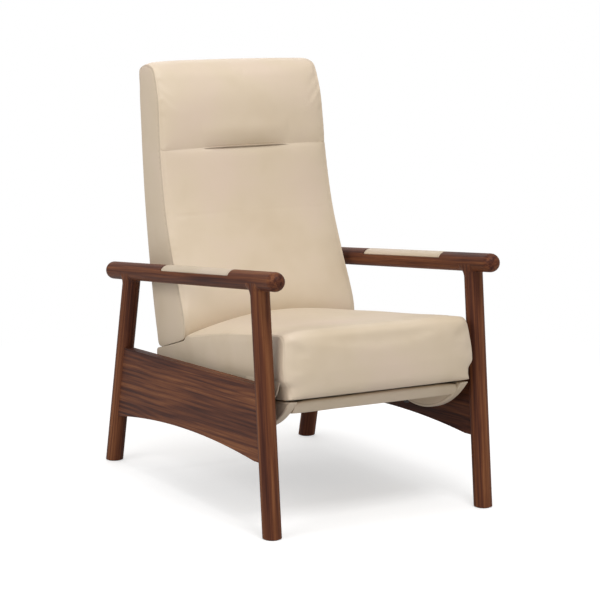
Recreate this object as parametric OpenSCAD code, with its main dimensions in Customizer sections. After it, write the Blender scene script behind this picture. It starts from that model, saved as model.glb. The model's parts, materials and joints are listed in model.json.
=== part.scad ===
// Lounge recliner: round-bar wooden side frames, a thick box seat, a tall back with a
// sewn headrest and a D-cheeked footrest that stows under the seat.
// X points to the sitter's left, the chair faces -Y, Z is up. Lengths are in millimetres.

/* [Side frames] */
// Distance between the centres of the two side frames
side_spacing = 580; // [556:2:640]
// Diameter of the legs and arm rails
bar_d = 45; // [40:1:50]
// Distance of the front feet in front of the origin
front_foot_y = 426.5; // [415:1:440]
// Distance of the rear feet behind the origin
rear_foot_y = 442; // [425:1:460]
// Distance of the front leg's top in front of the origin
front_leg_top_y = 368.5; // [355:1:380]
// Distance of the rear leg's top behind the origin
rear_leg_top_y = 314.5; // [300:1:330]
// Distance of the rail's front round centre in front of the origin
rail_front_y = 442.5; // [430:1:460]
// Distance of the rail's rear round centre behind the origin
rail_rear_y = 423; // [405:1:440]
// Height of the rail's axis at its front end
rail_front_z = 597.5; // [580:1:620]
// Height of the rail's axis at its rear end
rail_rear_z = 506.5; // [490:1:530]
// Radius of the fillet between a leg and its rail, on the side that faces the other leg
inner_fillet_r = 15; // [8:1:24]
// Radius of the fillet between a leg and its rail, on the outer side
outer_fillet_r = 5; // [3:1:10]
// Diameter of the round tenon on top of each leg
tenon_d = 22; // [16:1:28]
// How far the tenon reaches above the rail's axis
tenon_rise = 7; // [2:1:10]
// Height of the glide under each foot
glide_h = 2; // [1:0.5:4]
// Diameter of the glide under each foot
glide_d = 36; // [26:1:40]

/* [Arm pads] */
// Distance of the pad's front end in front of the origin
pad_front_y = 250; // [220:1:280]
// Distance of the pad's rear end behind the origin
pad_rear_y = 109; // [80:1:150]
// Height of the relieved flat above the rail's axis
pad_seat_h = 8.7; // [5:0.1:14]

/* [Side panels] */
// Thickness of a side panel
panel_t = 24; // [20:1:26]
// Height of the panel's top edge halfway along
panel_top_z = 331.5; // [325:0.5:345]
// Slope of the panel's top edge, falling to the rear
panel_tilt = 3.1; // [2:0.1:4]
// Depth of the panel at its ends
panel_depth = 182; // [170:1:200]
// Rise of the arched lower edge
panel_arch = 24; // [12:1:40]
// Diameter of the dowels that hold the panels to the legs
dowel_d = 10; // [8:1:12]
// Length of a panel dowel
dowel_l = 44; // [36:1:50]

/* [Stretchers] */
// Thickness of the stretchers
stretcher_t = 22; // [18:1:26]
// Distance of the front stretcher's front face in front of the origin
front_stretcher_y = 109; // [100:1:112]
// Height of the front stretcher's lower edge
front_stretcher_z = 212; // [205:1:216]
// Height of the front stretcher
front_stretcher_h = 36; // [30:1:38]
// Distance of the rear stretcher's front face behind the origin
rear_stretcher_y = 300; // [296:1:310]
// Height of the rear stretcher's lower edge
rear_stretcher_z = 178; // [165:1:190]
// Height of the rear stretcher
rear_stretcher_h = 88; // [60:1:90]
// Leg length of the steel angles at the stretcher ends
angle_leg = 26; // [22:1:28]

/* [Seat] */
// Slope of the whole seat, falling to the rear
seat_tilt = 7; // [5:0.5:8]
// Distance of the seat's front lower edge in front of the origin
seat_front_y = 438.4; // [430:0.1:446]
// Height of the seat's front lower edge
seat_front_z = 317; // [310:0.5:322]
// Width of the seat box, over its side rails
seat_box_w = 488; // [470:2:490]
// Length of the seat cushion
seat_l = 705; // [690:1:715]
// Thickness of the seat cushion
seat_t = 150; // [135:1:165]
// Distance from the seat's front to the step that the back stands behind
seat_step_l = 533; // [525:1:534]
// Crown of the seat's top over its corners
seat_crown = 10; // [4:1:14]
// Depth of the recess under the cushion that takes the seat box
box_recess = 38.5; // [37.5:0.5:46]
// Thickness of the front drop of the cushion, in front of the seat box
front_drop_t = 30; // [20:1:31]
// Height of the seat box rails
box_rail_h = 33; // [28:1:33]
// Thickness of the seat box rails
box_rail_t = 22; // [18:1:26]
// Distance from the seat's front to the rear end of the seat box
box_rear = 675; // [660:1:680]
// Diameter of the zigzag spring wire
spring_wire = 3.6; // [3:0.1:4]
// Pitch of the zigzag springs
spring_pitch = 40; // [34:1:50]
// Width of a zigzag spring
spring_w = 62; // [58:1:70]
// Number of zigzag springs
spring_count = 5; // [3:1:6]

/* [Back] */
// Lean of the back's rear face from upright
back_tilt = 9.9; // [7:0.1:12]
// Distance of the back's rear lower edge behind the seat's front, along the seat
back_foot_l = 685.5; // [680:0.5:690]
// Height of the back's rear lower edge over the seat's underside
back_foot_h = 113.5; // [112:0.5:120]
// Width of the back
back_w = 489; // [470:1:491]
// Narrowing of the back's half width from its foot to its top
back_taper = 7; // [0:1:12]
// Length of the back, from its rear lower edge to its peak
back_l = 694; // [660:1:720]
// Thickness of the back at its lower end
back_base_t = 146; // [140:1:148]
// Thickness of the back at its middle
back_mid_t = 84; // [78:1:100]
// Thickness of the back at the headrest
back_head_t = 93; // [84:1:108]
// Crown of the back's front over its side seams
back_crown = 15; // [8:1:20]
// Height of the headrest seam above the rear lower edge, along the back
head_seam_u = 475; // [450:1:500]
// Half width of the deep pleat in the headrest seam
pleat_half = 120; // [80:1:150]
// Extra depth of the pleat
pleat_depth = 9; // [4:1:12]

/* [Recline] */
// Distance of the back's pivot below its rear lower edge, along the back
hinge_drop = 69.7; // [66:0.1:74]
// Distance of the back's pivot in front of its rear face
hinge_fwd = 47.2; // [44:0.1:52]
// Length of the back's lower arm, from its pivot to the link pin
arm_l = 80; // [70:1:88]
// Tilt of the back at the end of its travel
recline_max = 28; // [20:1:28]
// Length of the recline link between its pins
recline_link_l = 100; // [90:1:108]
// Distance from the seat's front to the front glide bush
front_bush_a = 210; // [195:1:225]
// Distance from the seat's front to the rear glide bush
rear_bush_a = 500; // [470:1:520]
// Diameter of the glide bushes
bush_d = 16; // [12:1:18]
// Diameter of the back's pivot pins
hinge_pin_d = 12; // [10:1:14]

/* [Footrest] */
// Distance from the seat's front to the front link's pivot
link_pivot_a = 78; // [70:1:84]
// Height of the front link's pivot over the seat's underside
link_pivot_b = 19; // [16:0.5:20]
// Length of the footrest links between their pins
link_l = 160; // [154:1:164]
// Distance between the two pivots of a linkage side
link_base_l = 85; // [78:1:90]
// Slope of the line through the two pivots, falling to the rear of the seat's slope
link_base_slope = 10; // [8:0.5:12]
// Angle of the stowed links below the seat's slope, pointing rearwards
link_rest_angle = 25; // [23:0.5:27]
// Angle that the footrest links swing through
footrest_swing = 150; // [130:1:150]
// Width of the footrest between its cheeks
footrest_inner_w = 444; // [430:2:446]
// Thickness of a cheek
cheek_t = 22; // [16:1:26]
// Radius of a cheek's round edge
cheek_r = 255; // [245:1:265]
// Depth of a cheek under the seat
cheek_depth = 73; // [70:1:78]
// Distance from the seat's front to the middle of a cheek's round edge
cheek_mid_a = 188; // [184:1:192]
// Distance from the seat's front to a cheek's rear end
cheek_rear_a = 278; // [270:1:280]
// Distance from the seat's front to the footrest's front band
band_a = 27; // [24:1:34]
// Thickness of the padded footrest board
footrest_t = 29; // [26:1:32]
// Thickness of the footrest's plywood core
footrest_board_t = 13; // [10:1:15]

/* [Metalwork] */
// Thickness of the steel plates and brackets
plate_t = 3; // [2.5:0.5:3]
// Thickness of the links
link_t = 4; // [3:0.5:4]
// Thickness of the track plates
track_t = 4; // [3:0.5:5]
// Width of the footrest links
link_w = 18; // [14:1:18]
// Diameter of the linkage pins
pin_d = 8; // [6:0.5:9]
// Diameter of the tube that joins the two front links
drive_tube_d = 16; // [14:1:18]
// Diameter of the mechanism bolts
bolt_d = 6; // [5:0.5:7]

/* [Hidden] */
$fn = 64;

walnut = [0.36, 0.21, 0.15];
leather = [0.80, 0.73, 0.63];
steel = [0.25, 0.25, 0.26];
zinc = [0.66, 0.67, 0.69];
beech = [0.80, 0.66, 0.46];
nylon = [0.13, 0.13, 0.13];
cloth = [0.10, 0.10, 0.10];

// Clearances
joint_gap = 0.1;
run_gap = 0.1;
soft_gap = 0.4;
slot_gap = 0.25;

// Side view of the frames: points are [y, z]
half_span = side_spacing / 2;
rail_slope = (rail_rear_z - rail_front_z) / (rail_rear_y + rail_front_y);
function rail_z(y) = rail_front_z + rail_slope * (y + rail_front_y);
rail_front = [-rail_front_y, rail_front_z];
rail_rear = [rail_rear_y, rail_rear_z];
front_foot = [-front_foot_y, 0];
rear_foot = [rear_foot_y, 0];
front_top = [-front_leg_top_y, rail_z(-front_leg_top_y)];
rear_top = [rear_leg_top_y, rail_z(rear_leg_top_y)];
function along(p, q, t) = p + (q - p) * t;
function at_height(foot, top, z) = along(foot, top, z / top[1]);
panel_slope = tan(panel_tilt);
function panel_top(y) = panel_top_z - panel_slope * y;

// Layers across the chair, as distances from the middle plane
panel_in = half_span - panel_t / 2;
panel_out = half_span + panel_t / 2;
spacer_t = 4;
track_out = panel_in - spacer_t;
track_in = track_out - track_t;
box_out = seat_box_w / 2;
box_in = box_out - box_rail_t;
plate_out = box_out + plate_t;
link_in = plate_out + 1;
link_out = link_in + link_t;
arm_in = plate_out + soft_gap;
arm_out = arm_in + plate_t;
tie_in = arm_out + 1;
tie_out = tie_in + link_t;
bulge_in = box_out + 2.8;
bulge_out = box_out + 5;
cheek_out = box_out;
cheek_in = cheek_out - cheek_t;

// Seat frame: points are [a, b], a runs rearwards along the seat and b is square to it
seat_origin = [-seat_front_y, seat_front_z];
seat_back_dir = [cos(seat_tilt), -sin(seat_tilt)];
seat_up_dir = [sin(seat_tilt), cos(seat_tilt)];
function seat_pt(p) = seat_origin + seat_back_dir * p[0] + seat_up_dir * p[1];

// Back frame: points are [v, u], v runs forward from the rear face and u runs up the back
back_origin = seat_pt([back_foot_l, back_foot_h]);
back_up_dir = [sin(back_tilt), cos(back_tilt)];
back_fwd_dir = [-cos(back_tilt), sin(back_tilt)];
function back_pt(p) = back_origin + back_fwd_dir * p[0] + back_up_dir * p[1];

// Recline geometry
hinge_yz = back_pt([hinge_fwd, -hinge_drop]);
arm_rest_lean = recline_max / 2 - seat_tilt;
arm_pin_yz = hinge_yz + arm_l * [sin(arm_rest_lean), -cos(arm_rest_lean)];
link_hole_yz = arm_pin_yz - recline_link_l * seat_back_dir;
arm_sag = arm_l * (1 - cos(recline_max / 2));
seat_pin_yz = link_hole_yz - arm_sag / 2 * seat_up_dir;
glide_travel = 2 * arm_l * sin(recline_max / 2);
bush_b = 20;
front_bush_yz = seat_pt([front_bush_a, bush_b]);
rear_bush_yz = seat_pt([rear_bush_a, bush_b]);
slot_w = bush_d + 2 * slot_gap;
open_pivot_gap = 1.6;

// Footrest linkage, in the seat frame
front_pivot = [link_pivot_a, link_pivot_b];
rear_pivot = front_pivot + link_base_l * [cos(link_base_slope), -sin(link_base_slope)];
link_vec = link_l * [cos(link_rest_angle), -sin(link_rest_angle)];
front_pin = front_pivot + link_vec;
rear_pin = rear_pivot + link_vec;
boss_r = 10;
pin_head_t = 2;
pin_head_d = 2 * pin_d;
cheek_top_b = -2.5;
cheek_centre = [cheek_mid_a, cheek_r - cheek_depth];
cheek_corner_r = 20;
bracket_row_b = -36;
bracket_row_a = [115, 180, 255];
bracket_r = 13;
screw_d = 5;

echo(seat_glide_mm = glide_travel, hinge = hinge_yz, arm_pin = arm_pin_yz, seat_pin = seat_pin_yz);
echo(front_pivot = seat_pt(front_pivot), rear_pivot = seat_pt(rear_pivot));
echo(front_pin = seat_pt(front_pin), rear_pin = seat_pt(rear_pin));
echo(back_origin = back_origin, front_bush = front_bush_yz, rear_bush = rear_bush_yz);
echo(glide_ratio_mm_per_rad = glide_travel / (recline_max * PI / 180));

// Extrudes a side view drawn in [y, z] from one distance across the chair to another
module side_slab(x0, x1) {
    translate([x0, 0, 0]) rotate([90, 0, 90]) linear_extrude(height = x1 - x0) children();
}

// Builds for the sitter's left side, and mirrors for the right
module on_side(side) {
    if (side > 0) children();
    else mirror([1, 0, 0]) children();
}

module both_sides() {
    children();
    mirror([1, 0, 0]) children();
}

module in_seat() {
    translate([0, seat_origin[0], seat_origin[1]]) rotate([-seat_tilt, 0, 0]) children();
}

module in_back() {
    translate([0, back_origin[0], back_origin[1]]) rotate([-back_tilt, 0, 0]) children();
}

// Side view placed in the seat frame
module seat_view() {
    translate(seat_origin) rotate(-seat_tilt) children();
}

// Round rods across the chair through points of the side view
module rods(points, d, x0, x1) {
    for (p = points) translate([x0, p[0], p[1]]) rotate([0, 90, 0]) cylinder(d = d, h = x1 - x0);
}

// Round rods along Y through points [x, z]
module rods_along_y(points, d, y0, y1) {
    for (p = points) translate([p[0], y0, p[1]]) rotate([-90, 0, 0]) cylinder(d = d, h = y1 - y0);
}

// Strip with round ends between two points
module strip(p, q, w) {
    span = norm(q - p);
    translate(p) circle(d = w);
    translate(q) circle(d = w);
    translate(p) rotate(atan2(q[1] - p[1], q[0] - p[0])) translate([0, -w / 2]) square([span, w]);
}

// Link or arm of a plate: a bar between two round eyes that stand a little proud of it
module eye_bar(p, q, eye_p, eye_q, w) {
    span = norm(q - p);
    translate(p) circle(d = eye_p);
    translate(q) circle(d = eye_q);
    translate(p) rotate(atan2(q[1] - p[1], q[0] - p[0])) translate([0, -w / 2]) square([span, w]);
}

// Round bar between two points of the side view, centred across the side frame
module bar(p, q, d) {
    span = norm(q - p);
    lean = atan2(q[0] - p[0], q[1] - p[1]);
    translate([half_span, p[0], p[1]]) rotate([-lean, 0, 0]) cylinder(d = d, h = span);
}

// Bent bar that leaves one direction and turns into another with an inner radius
module bend(corner, dir_1, dir_2, inner_r) {
    thin = 0.15;
    half_angle = acos(dir_1 * dir_2) / 2;
    mid_r = inner_r + bar_d / 2;
    bisector = (dir_1 + dir_2) / norm(dir_1 + dir_2);
    centre = corner + bisector * mid_r / sin(half_angle);
    start = corner + dir_1 * mid_r / tan(half_angle) - centre;
    finish = corner + dir_2 * mid_r / tan(half_angle) - centre;
    turn = atan2(start[0] * finish[1] - start[1] * finish[0], start * finish);
    end_trim = 9;
    from = turn > 0 ? atan2(start[1], start[0]) : atan2(finish[1], finish[0]) + end_trim;
    translate([half_span, centre[0], centre[1]]) rotate([90, 0, 90]) rotate([0, 0, from])
        rotate_extrude(angle = abs(turn) - end_trim) translate([mid_r, 0]) circle(d = bar_d - 2 * thin);
}

// Side frames

module leg(foot, top, toward_mid) {
    up = (top - foot) / norm(top - foot);
    rail_dir = (rail_rear - rail_front) / norm(rail_rear - rail_front);
    difference() {
        union() {
            intersection() {
                bar(foot - up * bar_d, top, bar_d);
                translate([half_span - bar_d, -rail_front_y - bar_d, glide_h])
                    cube([2 * bar_d, rail_front_y + rear_foot_y + 2 * bar_d, rail_front_z]);
            }
            bend(top, -up, rail_dir * toward_mid, inner_fillet_r);
            bend(top, -up, -rail_dir * toward_mid, outer_fillet_r);
        }
        bar(rail_front, rail_rear, bar_d + 2 * joint_gap);
        dowel_rods(dowel_d + 2 * joint_gap, dowel_l + 1);
    }
    bar(top - up * bar_d * 0.7, top + up * tenon_rise, tenon_d);
}

module left_front_leg() { color(walnut) leg(front_foot, front_top, 1); }
module right_front_leg() { color(walnut) on_side(-1) leg(front_foot, front_top, 1); }
module left_rear_leg() { color(walnut) leg(rear_foot, rear_top, -1); }
module right_rear_leg() { color(walnut) on_side(-1) leg(rear_foot, rear_top, -1); }

// Places children in the rail's own frame: Z along the rail from its front centre, Y square to it
module in_rail() {
    translate([half_span, rail_front[0], rail_front[1]]) rotate([-90 + atan(rail_slope), 0, 0]) children();
}

function rail_dist(y) = (y + rail_front_y) / cos(atan(rail_slope));

module arm_relief(gap) {
    from = rail_dist(-pad_front_y) + gap;
    to = rail_dist(pad_rear_y) - gap;
    translate([-bar_d, -bar_d, from]) cube([2 * bar_d, bar_d - pad_seat_h - gap, to - from]);
}

module arm_rail() {
    run = norm(rail_rear - rail_front);
    up_front = (front_top - front_foot) / norm(front_top - front_foot);
    up_rear = (rear_top - rear_foot) / norm(rear_top - rear_foot);
    difference() {
        in_rail() rotate_extrude() intersection() {
            union() {
                circle(d = bar_d);
                translate([0, run]) circle(d = bar_d);
                square([bar_d / 2, run]);
            }
            translate([0, -bar_d]) square([bar_d, run + 2 * bar_d]);
        }
        in_rail() arm_relief(0);
        bar(front_top - up_front * bar_d, front_top + up_front * (tenon_rise + 1), tenon_d + 2 * joint_gap);
        bar(rear_top - up_rear * bar_d, rear_top + up_rear * (tenon_rise + 1), tenon_d + 2 * joint_gap);
    }
}

module left_arm_rail() { color(walnut) arm_rail(); }
module right_arm_rail() { color(walnut) on_side(-1) arm_rail(); }

// Leather wrap that fills the relief, with softened ends
module arm_pad() {
    run = rail_dist(pad_rear_y) - rail_dist(-pad_front_y) - 2 * joint_gap;
    edge_r = 5;
    in_rail() intersection() {
        arm_relief(joint_gap);
        translate([0, 0, rail_dist(-pad_front_y) + joint_gap]) rotate_extrude() union() {
            square([bar_d / 2 - edge_r, run]);
            translate([0, edge_r]) square([bar_d / 2, run - 2 * edge_r]);
            translate([bar_d / 2 - edge_r, edge_r]) circle(r = edge_r);
            translate([bar_d / 2 - edge_r, run - edge_r]) circle(r = edge_r);
        }
    }
}

module left_arm_pad() { color(leather) arm_pad(); }
module right_arm_pad() { color(leather) on_side(-1) arm_pad(); }

// Heights of the two dowels at each panel end, from the panel's lower edge
dowel_rise = [panel_depth * 0.3, panel_depth * 0.75];

function dowel_pts(foot, top) = [for (rise = dowel_rise)
    let (z = panel_top(at_height(foot, top, panel_top_z)[0]) - panel_depth + rise) at_height(foot, top, z)];

module dowel_rods(d, l) {
    for (p = dowel_pts(front_foot, front_top))
        translate([half_span, p[0] + bar_d / 2 - l / 2, p[1]]) rotate([-90, 0, 0]) cylinder(d = d, h = l);
    for (p = dowel_pts(rear_foot, rear_top))
        translate([half_span, p[0] - bar_d / 2 - l / 2, p[1]]) rotate([-90, 0, 0]) cylinder(d = d, h = l);
}

module panel_outline() {
    reach = rear_foot_y;
    clear_span = rear_foot_y + front_foot_y - 2.5 * bar_d;
    arch_r = (pow(clear_span / 2, 2) + panel_arch * panel_arch) / (2 * panel_arch);
    arch_mid = 10;
    chord_z = panel_top(arch_mid) - panel_depth;
    difference() {
        polygon([
            at_height(front_foot, front_top, panel_top(-front_foot_y) - panel_depth),
            at_height(rear_foot, rear_top, panel_top(rear_foot_y) - panel_depth),
            at_height(rear_foot, rear_top, panel_top(rear_leg_top_y)),
            at_height(front_foot, front_top, panel_top(-front_leg_top_y))
        ]);
        translate([arch_mid, chord_z]) rotate(-panel_tilt) translate([0, panel_arch - arch_r])
            circle(r = arch_r, $fn = 720);
    }
}

module side_panel() {
    difference() {
        side_slab(panel_in, panel_out) panel_outline();
        bar(front_foot, front_top, bar_d + 2 * joint_gap);
        bar(rear_foot, rear_top, bar_d + 2 * joint_gap);
        dowel_rods(dowel_d + 2 * joint_gap, dowel_l + 1);
        rods(track_screw_pts, screw_d + 2 * joint_gap, panel_in - 1, panel_in + 16);
        stretcher_screw_holes();
    }
}

module left_side_panel() { color(walnut) side_panel(); }
module right_side_panel() { color(walnut) on_side(-1) side_panel(); }

module panel_dowels() { color(beech) both_sides() dowel_rods(dowel_d, dowel_l); }

module leg_glides() {
    color(nylon) both_sides() for (foot = [front_foot, rear_foot])
        translate([half_span, foot[0], 0]) cylinder(d = glide_d, h = glide_h);
}

// Stretchers between the side panels, hidden below the seat

angle_t = 2.5;
angle_w = 24;
front_stretcher_in = -front_stretcher_y + stretcher_t;

module front_stretcher() {
    color(beech) difference() {
        translate([-panel_in + joint_gap, -front_stretcher_y, front_stretcher_z])
            cube([2 * (panel_in - joint_gap), stretcher_t, front_stretcher_h]);
        both_sides() stretcher_rods(screw_d + 2 * joint_gap, 14);
    }
}

module rear_stretcher() {
    color(beech) difference() {
        translate([-panel_in + joint_gap, rear_stretcher_y, rear_stretcher_z])
            cube([2 * (panel_in - joint_gap), stretcher_t, rear_stretcher_h]);
        both_sides() stretcher_rods(screw_d + 2 * joint_gap, 14);
    }
}

front_angle_z = front_stretcher_z + (front_stretcher_h - angle_w) / 2;
rear_angle_z = rear_stretcher_z + (rear_stretcher_h - angle_w) / 2;
angle_screw_reach = angle_leg * 0.62;

// Steel angle in the corner between a stretcher's rear face and a panel
module angle_piece(face_y, z, dir) {
    translate([panel_in - angle_leg, face_y, z]) mirror([0, dir > 0 ? 0 : 1, 0])
        cube([angle_leg, angle_t, angle_w]);
    translate([panel_in - angle_t, face_y, z]) mirror([0, dir > 0 ? 0 : 1, 0])
        cube([angle_t, angle_leg, angle_w]);
}

module stretcher_angles() {
    color(zinc) both_sides() difference() {
        union() {
            angle_piece(front_stretcher_in, front_angle_z, 1);
            angle_piece(rear_stretcher_y, rear_angle_z, -1);
        }
        stretcher_rods(screw_d + 2 * joint_gap, 14);
        stretcher_screw_holes();
    }
}

// Screws through the angles into the stretchers, along Y
module stretcher_rods(d, reach) {
    x = panel_in - angle_screw_reach;
    rods_along_y([[x, front_angle_z + angle_w / 2]], d, front_stretcher_in - reach, front_stretcher_in + angle_t + 1);
    rods_along_y([[x, rear_angle_z + angle_w / 2]], d, rear_stretcher_y - angle_t - 1, rear_stretcher_y + reach);
}

// Screws through the angles into the panels, across the chair
stretcher_screw_pts = [
    [front_stretcher_in + angle_screw_reach, front_angle_z + angle_w / 2],
    [rear_stretcher_y - angle_screw_reach, rear_angle_z + angle_w / 2]
];

module stretcher_screw_holes() {
    rods(stretcher_screw_pts, screw_d + 2 * joint_gap, panel_in - angle_t - 1, panel_in + 15);
}

module stretcher_screws() {
    head_d = 2 * screw_d - 1;
    head_t = 2;
    x = panel_in - angle_screw_reach;
    front_y = front_stretcher_in + angle_t;
    rear_y = rear_stretcher_y - angle_t;
    color(zinc) both_sides() {
        rods(stretcher_screw_pts, screw_d, panel_in - angle_t, panel_in + 14);
        rods(stretcher_screw_pts, head_d, panel_in - angle_t - head_t, panel_in - angle_t);
        rods_along_y([[x, front_angle_z + angle_w / 2]], screw_d, front_y - 14, front_y);
        rods_along_y([[x, front_angle_z + angle_w / 2]], head_d, front_y, front_y + head_t);
        rods_along_y([[x, rear_angle_z + angle_w / 2]], screw_d, rear_y, rear_y + 14);
        rods_along_y([[x, rear_angle_z + angle_w / 2]], head_d, rear_y - head_t, rear_y);
    }
}

// Track plates on the panels: two sloping slots and the back's pivot

track_w = 40;
slot_shift = -glide_travel * seat_back_dir;
track_front = front_bush_yz + slot_shift - 16 * seat_back_dir;
track_mid = rear_bush_yz + 30 * seat_back_dir;
track_screw_pts = [
    front_bush_yz + slot_shift - 26 * seat_back_dir,
    front_bush_yz + 30 * seat_back_dir,
    along(front_bush_yz, rear_bush_yz, 0.5),
    rear_bush_yz + slot_shift - 22 * seat_back_dir,
    rear_bush_yz + 30 * seat_back_dir
];

module track_outline() {
    difference() {
        union() {
            strip(track_front, track_mid, track_w);
            strip(track_mid, hinge_yz, track_w - 6);
        }
        for (p = [front_bush_yz, rear_bush_yz]) strip(p, p + slot_shift, slot_w);
    }
}

module track_plate() {
    difference() {
        union() {
            side_slab(track_in, track_out) track_outline();
            rods([hinge_yz], hinge_pin_d + 8, arm_out + 0.6, track_in + 1);
        }
        rods([hinge_yz], hinge_pin_d + 2 * run_gap, arm_out - 1, track_out + 1);
        rods(track_screw_pts, screw_d + 2 * joint_gap, track_in - 1, track_out + 1);
    }
}

module left_track_plate() { color(steel) track_plate(); }
module right_track_plate() { color(steel) on_side(-1) track_plate(); }

module track_spacers() {
    color(zinc) both_sides() difference() {
        rods(track_screw_pts, 14, track_out, panel_in);
        rods(track_screw_pts, screw_d + 2 * joint_gap, track_out - 1, panel_in + 1);
    }
}

module track_screws() {
    color(zinc) both_sides() {
        rods(track_screw_pts, screw_d, track_in, panel_in + 15);
        rods(track_screw_pts, 2 * screw_d, track_in - 2.2, track_in);
    }
}

module back_pivot_pins() {
    color(zinc) both_sides() {
        rods([hinge_yz], hinge_pin_d, arm_in, track_out);
        rods([hinge_yz], hinge_pin_d + 8, track_out, panel_in - 1);
    }
}

// Smooth curve through a list of points, with some steps in each span
function spline(p, steps) = [for (i = [0 : len(p) - 2], s = [0 : steps - 1])
    let (t = s / steps,
        a = p[max(i - 1, 0)], b = p[i], c = p[i + 1], d = p[min(i + 2, len(p) - 1)])
    0.5 * (2 * b + (c - a) * t + (2 * a - 5 * b + 4 * c - d) * t * t + (3 * b - a - 3 * c + d) * t * t * t)];

// Outward normal at a point of a closed outline that runs anticlockwise
function normal(p, i) =
    let (n = len(p), a = p[(i + n - 1) % n], b = p[(i + 1) % n], t = [b[0] - a[0], b[1] - a[1]])
    [t[1], -t[0]] / norm(t);

// Round corner of an outline, from one direction to another
function round_corner(centre, r, from, to, steps) =
    [for (i = [0 : steps]) let (g = from + (to - from) * i / steps) centre + r * [cos(g), sin(g)]];

// Closed skin over rings of equal length, with flat ends. Seen from +X, each ring runs anticlockwise
module skin(rings) {
    m = len(rings);
    n = len(rings[0]);
    faces = concat(
        [for (k = [0 : m - 2], i = [0 : n - 1]) [k * n + i, (k + 1) * n + i, k * n + (i + 1) % n]],
        [for (k = [0 : m - 2], i = [0 : n - 1])
            [k * n + (i + 1) % n, (k + 1) * n + i, (k + 1) * n + (i + 1) % n]],
        [[for (i = [0 : n - 1]) i]],
        [[for (i = [n - 1 : -1 : 0]) (m - 1) * n + i]]
    );
    polyhedron(points = [for (ring = rings, p = ring) p], faces = faces, convexity = 4);
}

function mirror_list(v) = concat([for (i = [len(v) - 1 : -1 : 1]) -v[i]], v);

// Seat cushion. Each station across the seat is [distance, how far its outline is drawn in]
seat_top_r = 22;
ledge_gap = 1.8;
ledge_front = back_foot_h + 0.04 * back_base_t - ledge_gap;
ledge_rear = ledge_front - 25;
seat_outline = concat(
    round_corner([8, 8], 8, 180, 270, 3),
    [[0.284 * seat_l, 0], [0.638 * seat_l, 0]],
    round_corner([seat_l - 12, 12], 12, 270, 360, 3),
    round_corner([seat_l - 16, ledge_rear - 26], 16, 0, 76, 4),
    [
        [seat_l - 55, ledge_rear + 4],
        [seat_l - 105, ledge_rear + 13.6],
        [seat_step_l + 8, ledge_front],
        [seat_step_l + 1, ledge_front + 5]
    ],
    round_corner([seat_step_l - 18, seat_t - 18], 18, 0, 90, 4),
    [[0.75 * seat_step_l, seat_t + 1], [0.469 * seat_step_l, seat_t + 2], [0.225 * seat_step_l, seat_t + 1]],
    round_corner([seat_top_r, seat_t - seat_top_r], seat_top_r, 90, 180, 5),
    [[-3, 95], [-4, 60], [-2, 28]]
);

// Weight of the crown and of the drawn-in edge at a point of the seat's outline
function seat_soft(p) =
    p[1] < 9 ? 0.12 :
    p[0] < 10 ? 1 :
    min(1, max(0, (seat_step_l - p[0]) / 60));

function seat_draw(x) =
    let (t = abs(x) / box_out) -seat_crown * (1 - pow(t, 2.2)) + 9 * pow(t, 12);

// Extra fall of the seat's top towards its sides, close to the back
function rear_fall(p, x) =
    p[1] > ledge_front + 8 ? 20 * pow(abs(x) / box_out, 1.6) * max(0, min(1, (p[0] - 300) / 230)) : 0;

// Extra crown in the middle of the seat's top, close to the back
function rear_rise(p, x) =
    p[1] > ledge_front + 8 ? 17 * (1 - pow(min(1, abs(x) / box_out), 3)) * max(0, min(1, (p[0] - 150) / 300)) : 0;

function seat_ring(x, draw) = [for (i = [0 : len(seat_outline) - 1])
    let (p = seat_outline[i], n = normal(seat_outline, i), q = p - n * draw * seat_soft(p))
    [x, q[0], max(q[1] + rear_rise(p, x) - rear_fall(p, x), min(q[1], ledge_front + 4))]];

// The same outline drawn in towards the middle line of the seat's side
function seat_cap(x, share) = [for (p = seat_ring(x, 16))
    let (a = max(0.17 * seat_l, min(0.3617 * seat_l, p[1])), b = 0.4133 * seat_t)
    [x, a + (p[1] - a) * share, b + (p[2] - b) * share]];

module seat_cushion() {
    half = [0, 60, 115, 160, 195, 218, 232, 239];
    edge = box_out - 0.5;
    rings = concat(
        [seat_cap(-bulge_out, 0.42), seat_cap(-bulge_in, 0.7), seat_ring(-edge, 16)],
        [for (x = mirror_list(half)) seat_ring(x, seat_draw(x))],
        [seat_ring(edge, 16), seat_cap(bulge_in, 0.7), seat_cap(bulge_out, 0.42)]
    );
    color(leather) in_seat() difference() {
        skin(rings);
        translate([-side_spacing / 2, front_drop_t, -10])
            cube([side_spacing, seat_l, 10 + box_recess]);
    }
}

// Seat box
rail_bottom = 1;
rail_top = rail_bottom + box_rail_h;
box_front = front_drop_t + 2;

seat_bolt_ab = [[110, 12], [330, 18], [440, 18], [585, 18]];
seat_bolt_pts = [for (p = seat_bolt_ab) seat_pt(p)];

module seat_side_rails() {
    color(beech) both_sides() difference() {
        in_seat() translate([box_in, box_front, rail_bottom])
            cube([box_rail_t, box_rear - box_front, box_rail_h]);
        rods([seat_pt(front_pivot)], drive_tube_d + 3, box_in - 1, box_out + 1);
        rods(seat_bolt_pts, bolt_d + 2 * joint_gap, box_in - 1, box_out + 1);
        rods(glide_bolt_pts, 10 + 2 * joint_gap, box_in - 1, box_out + 1);
    }
}

module seat_cross_rails() {
    color(beech) in_seat() for (a = [box_front, box_rear - box_rail_t])
        translate([-box_in + joint_gap, a, rail_bottom])
            cube([2 * (box_in - joint_gap), box_rail_t, box_rail_h]);
}

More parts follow.
